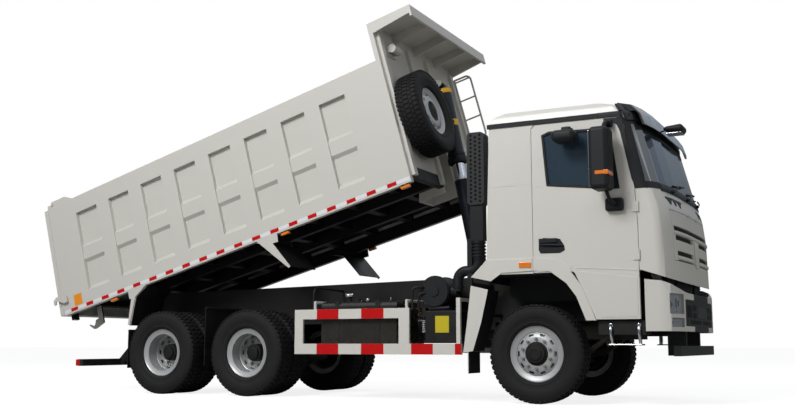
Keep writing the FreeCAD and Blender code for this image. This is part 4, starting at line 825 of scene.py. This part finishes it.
# Bed side markings and lamps
# Reflective film in red and white runs along each bottom rail, amber lamps hang under it on short rubber
# mounts, and a plain orange plate is riveted to each rear post.
bed_lean = Matrix.Translation(bed_foot) @ Matrix.Rotation(-bed_angle, 4, "Y")
orange_plate = dusty("orange_plate", (0.80, 0.27, 0.01), dust=0.1)
tape, lenses, rails, caps = [], [], [], []
for side in (-1, 1):
    inner, outer, over, high = side * 1.2202, side * 1.2212, side * 1.2206, side * 1.2218
    tape.append(slab("tape", (0.02, inner, 0.024), (5.79, outer, 0.072), white_film, edge=0))
    for k in range(19):
        s = 0.206 + 0.296 * k
        tape.append(slab("tape", (s - 0.066, over, 0.024), (s + 0.066, high, 0.072), red_film, edge=0))
    tape.append(slab("plate", (0.225, inner, 0.085), (0.372, side * 1.2222, 0.245), orange_plate,
                     edge=0.0008))
    inner, outer = side * 1.150, side * 1.205
    for s in (0.925, 3.887, 5.69):
        lenses.append(slab("lens", (s - 0.062, inner, -0.046), (s + 0.062, outer, -0.008), amber, edge=0.010))
        lenses.append(slab("mount", (s - 0.050, inner, -0.012), (s + 0.050, outer, 0.004), black_plastic,
                           edge=0.002))
    rails.append(slab("rail", (0.010, side * 1.1385, 0.002), (5.790, side * 1.1490, 0.180), black_paint,
                      edge=0))
    caps.append(slab("film", (-3.872, side * 1.1995, 0.364), (-3.800, side * 1.2010, 0.451), red_film,
                     edge=0))
as_one("bed_films", tape, "bed", place=bed_lean)
as_one("bed_rail_insides", rails, "bed", place=bed_lean)
as_one("guard_end_films", caps, "chassis")
as_one("bed_side_lamps", lenses, "bed", place=bed_lean)

# Hoist markings
# The cover tube is capped by a yellow casting and carries one plain yellow band; its lower end is a heavy
# black collar with a wiper.
hoist_lean = Matrix.Translation((1.895, 0, 1.500)) @ Matrix.Rotation(-math.radians(11.95), 4, "Y")
hoist_yellow = dusty("hoist_yellow", (0.80, 0.44, 0.012), dust=0.12, coat=0.2)
cover_radius = 0.1085


def sleeve(name, low, high, outer, material, edge):
    # a ring slid over the hoist's cover tube
    bpy.ops.object.select_all(action="DESELECT")
    bpy.ops.mesh.primitive_cylinder_add(vertices=48, radius=outer, depth=high - low, end_fill_type="NOTHING")
    piece = bpy.context.object
    piece.name = name
    thicken(piece, outer - cover_radius, offset=-1)
    roll_over(piece, edge, segments=3, limit=40)
    shade(piece, 35)
    piece.data.transform(Matrix.Translation((0, 0, (low + high) / 2)))
    piece.data.materials.append(material)
    return piece


as_one("hoist_cap", [sleeve("cap", 2.540, 2.601, 0.1135, hoist_yellow, 0.0012),
                     sleeve("band", 2.075, 2.160, 0.1112, hoist_yellow, 0.0003)],
       "hoist_cover", place=hoist_lean)
as_one("hoist_collar", [sleeve("collar", 1.564, 1.640, 0.128, black_plastic, 0.005),
                        sleeve("wiper", 1.655, 1.700, 0.118, black_plastic, 0.002)],
       "hoist_cover", place=hoist_lean)

# Spare wheel
# The spare is one more road wheel, bolted flat against its carrier on the bed's front wall.
spare_place = bed_lean @ Matrix.Translation((6.003, -0.690, 0.930)) @ Matrix.Rotation(-math.pi / 2, 4, "Z")
hand_over(gather("spare_tyre.tread", [(one_tyre, spare_place)]), "bed", ["spare_tyre"])
spare_steel = gather("spare_wheel.steel", [(band, spare_place), (front_disc, spare_place)])
hand_over(spare_steel, "bed", ["spare_rim"])
for master in (one_tyre, band, front_disc, front_hub, nut, front_nuts, rear_disc, rear_hub, rear_nuts, drum,
               shield):
    bpy.data.objects.remove(master)

# Front panel
# The pressed lift-up panel has long air slots, in one row across and in pairs below, with black mesh behind
# them and a plain blank plate in the middle. Bars of the same paint divide the slots.
front_levels = [(1.300, 1.588), (1.900, 1.572), (2.160, 1.540), (2.340, 1.480), (3.030, 1.300),
                (3.180, 1.250)]
front_bends = [(0.0, 0.005), (0.45, 0.005), (0.85, 0.028), (1.08, 0.068), (1.194, 0.118), (1.234, 0.165),
               (cab_side, 0.215)]


def read_off(line, at):
    # the value at a place on a line of points, or on its last stretch drawn on
    for (start, low), (end, high) in zip(line, line[1:]):
        if at <= end:
            break
    return low + (high - low) * (at - start) / (end - start)


def front_x_at(y, z):
    # how far forward the painted front stands at a height and a distance from the middle
    return cab_x + read_off(front_levels, z) - read_off(front_bends, min(abs(y), cab_side))


def wrapped_bar(name, y_low, y_high, z_low, z_high, proud, thick, material, steps=24, edge=0.003, taper=0.0):
    # a strip laid across the cab's front, following its curve
    y_low, y_high = sorted((y_low, y_high))
    bpy.ops.object.select_all(action="DESELECT")
    bpy.ops.mesh.primitive_grid_add(x_subdivisions=steps, y_subdivisions=1, size=1)
    piece = bpy.context.object
    piece.name = name
    for corner in piece.data.vertices:
        along, up = corner.co.x, corner.co.y + 0.5
        y = y_low + (y_high - y_low) * (along + 0.5) - taper * (1 - up) * along * 2
        z = z_low + (z_high - z_low) * up
        corner.co = (front_x_at(y, z) + proud, y, z)
    thicken(piece, thick)
    if edge:
        roll_over(piece, edge, limit=50)
    face_out()
    shade(piece, 35)
    piece.data.materials.append(material)
    return piece


mesh = [wrapped_bar("mesh", -reach, reach, low_z, high_z, -0.030, 0.004, black_plastic)
        for reach, low_z, high_z in ((0.965, 1.870, 1.965), (0.930, 1.775, 1.862), (0.900, 1.510, 1.690))]
for low_z, high_z, inner, outer in ((1.898, 1.940, 0.0, 0.945), (1.795, 1.842, 0.175, 0.905),
                                    (1.628, 1.670, 0.175, 0.880), (1.530, 1.572, 0.175, 0.855)):
    for side in (-1, 1):
        for up in (0.33, 0.66):
            z = low_z + (high_z - low_z) * up
            mesh.append(wrapped_bar("wire", side * inner, side * outer, z - 0.002, z + 0.002, -0.022, 0.004,
                                    black_plastic, steps=12, edge=0))
as_one("front_panel_mesh", mesh, "front_flap")
bars = [wrapped_bar("bar", -0.960, 0.960, 1.853, 1.885, 0.004, 0.016, cream_paint, steps=40, edge=0.005)]
for side in (-1, 1):
    bars.append(wrapped_bar("bar", side * 0.165, side * 0.895, 1.582, 1.616, 0.004, 0.016, cream_paint,
                            steps=20, edge=0.005))
bars.append(wrapped_bar("blank", -0.115, 0.115, 1.535, 1.835, 0.008, 0.018, cream_paint, steps=6, edge=0.007,
                        taper=0.025))
as_one("front_panel_bars", bars, "front_flap")

# Wipers
# Three black wiper arms rest low on the glass, on pivots in the black cowl under it. Below the cowl is a row
# of small black vents for the cab's air.
cowl = [wrapped_bar("cowl", -1.06, 1.06, 2.318, 2.402, 0.006, 0.016, black_plastic, steps=40)]
for side in (-1, 1):
    cowl.append(wrapped_bar("vent", side * 0.44, side * 1.02, 2.236, 2.262, 0.001, 0.006, black_plastic,
                            steps=16, edge=0.002))
    for k in range(3):
        middle = side * (0.55 + 0.185 * k)
        cowl.append(wrapped_bar("vent", middle - 0.078, middle + 0.078, 2.178, 2.240, 0.001, 0.006,
                                black_plastic, steps=6, edge=0.002, taper=0.066))


def on_glass(y, z, proud):
    # a point a little proud of the windscreen
    return Vector((front_x_at(y, z) + proud, y, z))


for pivot in (-0.75, 0.0, 0.62):
    root = on_glass(pivot, 2.335, 0.012)
    tip = Vector((front_x_at(pivot + 0.44, 2.45) + 0.030, pivot + 0.44, 2.445))
    cowl.append(post("boss", root, root + Vector((0.035, 0, 0.012)), 0.020, black_plastic))
    line = [root + Vector((0.03, 0, 0.012)), root + Vector((0.045, 0.05, 0.03)),
            tip + Vector((0.02, -0.12, 0.02)), tip + Vector((0.016, 0, 0))]
    cowl.append(bent("arm", line, 0.008, black_plastic))
    near = on_glass(pivot + 0.10, 2.425, 0.022)
    far = on_glass(pivot + 0.78, 2.50, 0.022)
    far.y = min(far.y, 1.02)
    cowl.append(bent("blade", [near, (near + far) / 2 + Vector((0.004, 0, 0)), far], 0.009, black_plastic))
as_one("wipers", cowl, "cab")

# Bumper insert
# The black centre of the bumper has a blank panel in its middle, with slots for air on both sides and below
# it. Each is laid on the moulding's own skin; the slots are thin near-black patches of painted shade, not
# openings.
blank = within(y=(-0.27, 0.27), z=(0.955, 1.085), x=(4.50, None))
details = [patch("blank_panel", "bumper_insert", blank, intake_plastic, 0.003, Vector((4.3, 0, 1.0)))]
for side in (-1, 1):
    for inner, outer, low_z, high_z in ((0.34, 0.50, 1.035, 1.090), (0.34, 0.50, 0.950, 1.005),
                                        (0.05, 0.60, 0.885, 0.925), (0.56, 0.74, 0.955, 1.085)):
        slot = within(y=sorted((side * inner, side * outer)), z=(low_z, high_z), x=(4.42, None))
        details.append(patch("slot", "bumper_insert", slot, painted_hole_shade, 0.0015, Vector((4.2, 0, 1.0))))
as_one("bumper_insert_details", details, "chassis")

# Headlamps
# A clear moulded lens closes each lamp pocket; behind it are a chromed bowl with its bulb shield and a small
# turn lamp. The fog lamp below has its own small pocket.
shells = []
for side in (-1, 1):
    for y, z, x, r in ((0.945, 1.100, 1.528, 0.072), (1.075, 1.085, 1.488, 0.050),
                       (0.960, 0.894, 1.520, 0.038), (1.070, 0.894, 1.490, 0.026)):
        y *= side
        shells.append(post("bowl", (x - 0.030, y, z), (x, y, z), r, mirror_chrome, sides=40, edge=0.007))
        shells.append(post("shield", (x - 0.002, y, z), (x + 0.012, y, z), r * 0.45, mirror_chrome,
                           edge=0.005))
    for name, x, inner, low_z, thick, outer, high_z, material, edge in (
            ("tray", 1.452, 0.855, 0.990, 0.010, 1.145, 1.195, mirror_chrome, 0.002),
            ("tray", 1.452, 0.855, 0.850, 0.010, 1.145, 0.938, mirror_chrome, 0.002),
            ("turn", 1.505, 0.870, 0.998, 0.025, 0.990, 1.020, bright, 0.004),
            ("blind", 1.463, 1.085, 1.000, 0.005, 1.140, 1.190, rim_paint, 0.002)):
        shells.append(slab(name, (x, side * inner, low_z), (x + thick, side * outer, high_z), material, edge))
as_one("headlamp_bowls", shells, "chassis", place=cab_place)

# Visor ends and front mirror
# Screws hold the visor's dark end panels to the roof, and a low moulded mirror reaches forward from its lip
# on a short bent rod, to show the road just before the bumper.
# the screw heads are small discs in the near-black painted hole shade
bits = [post("screw", (1.150, side * 1.252, 3.155), (1.150, side * 1.263, 3.155), 0.011, painted_hole_shade, sides=12)
        for side in (-1, 1)]
line = [(1.245, -0.62, 3.125), (1.285, -0.61, 3.070), (1.345, -0.59, 3.062), (1.40, -0.56, 3.095)]
bits.append(bent("rod", line, 0.009, black_plastic))
as_one("visor_fittings", bits, "cab", place=cab_place)

# Door mirrors
# Big black moulded heads on tubular arms: a tall main mirror with an amber repeater, a kerb mirror above the
# window and a wide one reaching forward from the visor.
mirror_face = started("mirror_face", {"Base Color": (0.8, 0.82, 0.84, 1), "Metallic": 1.0, "Roughness": 0.04})


def pod(name, corner, opposite, edge):
    # a moulded pod: a block swollen into a soft rounded shape
    return slab(name, corner, opposite, black_plastic, edge, segments=5, smooth=60)


wide_back, wide_length, wide_level = 1.375, 0.225, 3.100
wide = pod("front_mirror", (wide_back, -0.640, 3.052), (wide_back + wide_length, -0.390, 3.135), 0.040)
for corner in wide.data.vertices:
    reach = min(1, max(0, (corner.co.x - wide_back) / wide_length))
    swell = 0.45 + 0.75 * math.sin(math.pi * reach * 0.72)
    corner.co.z = wide_level + (corner.co.z - wide_level) * swell
glass = slab("glass", (1.40, -0.615, 3.040), (1.575, -0.415, 3.046), mirror_face, edge=0.002)
as_one("front_mirror", [wide, glass], "cab", place=cab_place)
for side, sign in (("left", 1), ("right", -1)):
    heads = [
        pod(name, (x0, sign * y0, z0), (x1, sign * y1, z1), edge)
        for name, x0, x1, y0, y1, z0, z1, edge in (
            ("head", 0.785, 0.995, 1.360, 1.6395, 2.300, 2.985, 0.050),
            ("head", 0.340, 0.600, 1.310, 1.555, 2.872, 3.005, 0.050),
            ("arm", 0.415, 0.520, 1.248, 1.40, 2.985, 3.065, 0.020),
            ("foot", 0.865, 1.065, 1.25, 1.33, 2.095, 2.240, 0.030),
            ("foot", 0.89, 0.97, 1.25, 1.33, 3.030, 3.110, 0.022))]
    for radius, line in (
            (0.024, ((0.93, 1.252, 3.070), (0.93, 1.34, 3.080), (0.915, 1.44, 3.05), (0.905, 1.46, 2.95))),
            (0.020, ((0.99, 1.252, 2.165), (0.99, 1.37, 2.170), (0.945, 1.44, 2.20), (0.92, 1.46, 2.33)))):
        heads.append(bent("arm", [(x, sign * y, z) for x, y, z in line], radius, black_plastic))
    for low_z, high_z in ((2.56, 2.945), (2.34, 2.535)):
        heads.append(slab("glass", (0.780, sign * 1.37, low_z), (0.788, sign * 1.615, high_z), mirror_face,
                          edge=0.002))
    heads.append(slab("repeater", (0.850, sign * 1.44, 2.452), (0.9985, sign * 1.6399, 2.500), amber,
                      edge=0.006))
    as_one("mirrors_%s.heads" % side, heads, "door_" + side, ["mirrors_" + side], cab_place)

# Floor, light and camera
# The lorry stands on a plain pale floor under soft lamps, seen from the low right front corner.
bpy.ops.object.select_all(action="DESELECT")
bpy.ops.mesh.primitive_plane_add(size=400)
floor = bpy.context.object
floor.name = "floor"
pale = started("pale_floor", {"Base Color": (0.36, 0.36, 0.35, 1), "Roughness": 0.95,
                              "Specular IOR Level": 0.1})
tree = pale.node_tree
n = tree.nodes
shadowed, glow = n.new("ShaderNodeBsdfDiffuse"), n.new("ShaderNodeEmission")
fill(shadowed, {"Color": (0.32, 0.32, 0.32, 1)})
fill(glow, {"Color": (0.84, 0.84, 0.84, 1)})
bright_floor, sight = n.new("ShaderNodeAddShader"), n.new("ShaderNodeLightPath")
seen = either(tree, sight, "Is Camera Ray", n["Principled BSDF"], bright_floor)
wire(tree, (glow, 0, bright_floor, 0), (shadowed, 0, bright_floor, 1),
     (seen, 0, n["Material Output"], "Surface"))
floor.data.materials.append(pale)

world = bpy.context.scene.world or bpy.data.worlds.new("world")
bpy.context.scene.world = world
world.use_nodes = True
tree = world.node_tree
n = tree.nodes
sky, plain, yard = n["Background"], n.new("ShaderNodeBackground"), n.new("ShaderNodeBackground")
fill(sky, {"Color": (0.96, 0.98, 1.0, 1), "Strength": 0.40})
fill(plain, {"Color": (1, 1, 1, 1), "Strength": 1.0})
place, split = n.new("ShaderNodeTexCoord"), n.new("ShaderNodeSeparateXYZ")
half_up, ramp = n.new("ShaderNodeMapRange"), n.new("ShaderNodeValToRGB")
fill(half_up, {"From Min": -1.0})
ground, top = ramp.color_ramp.elements
ground.position, ground.color = 0.46, (0.30, 0.29, 0.27, 1)
top.position, top.color = 1.0, (1.0, 1.0, 1.0, 1)
for at, colour in ((0.50, (0.10, 0.105, 0.095, 1)), (0.58, (0.13, 0.14, 0.14, 1)),
                   (0.66, (0.36, 0.42, 0.50, 1)), (0.80, (0.80, 0.84, 0.88, 1))):
    ramp.color_ramp.elements.new(at).color = colour
sight = n.new("ShaderNodeLightPath")
lit = either(tree, sight, "Is Glossy Ray", sky, yard)
seen = either(tree, sight, "Is Camera Ray", lit, plain)
wire(tree, (place, "Generated", split, 0), (split, "Z", half_up, "Value"), (half_up, "Result", ramp, "Fac"),
     (ramp, "Color", yard, "Color"), (seen, 0, n["World Output"], "Surface"))


def lamp(name, place, aim, size, power):
    # a round soft lamp aimed at a point
    bpy.ops.object.light_add(type="AREA", location=place)
    light = bpy.context.object
    light.name = name
    light.data.shape = "DISK"
    light.data.size = size
    light.data.energy = power
    light.rotation_euler = (Vector(aim) - Vector(place)).to_track_quat("-Z", "Y").to_euler()


lamp("key", (-1.0, -13.0, 11.0), (0, 0, 1.5), 6.0, 1650)
lamp("front", (16.0, -3.0, 7.0), (2, 0, 1.5), 6.0, 130)
lamp("back", (-10.0, 12.0, 14.0), (0, 0, 1.5), 8.0, 500)

camera = bpy.data.objects.new("camera", bpy.data.cameras.new("camera"))
bpy.context.collection.objects.link(camera)
camera.data.sensor_width = 36
camera.data.lens = 44.94
camera.data.clip_end = 500
camera.location = (6.7372, -11.8708, 0.6556)
camera.rotation_euler = (math.pi / 2 + 0.1381, 0, 0.4726)
bpy.context.scene.camera = camera
bpy.context.scene.view_settings.view_transform = "Standard"

low, high = cad_box
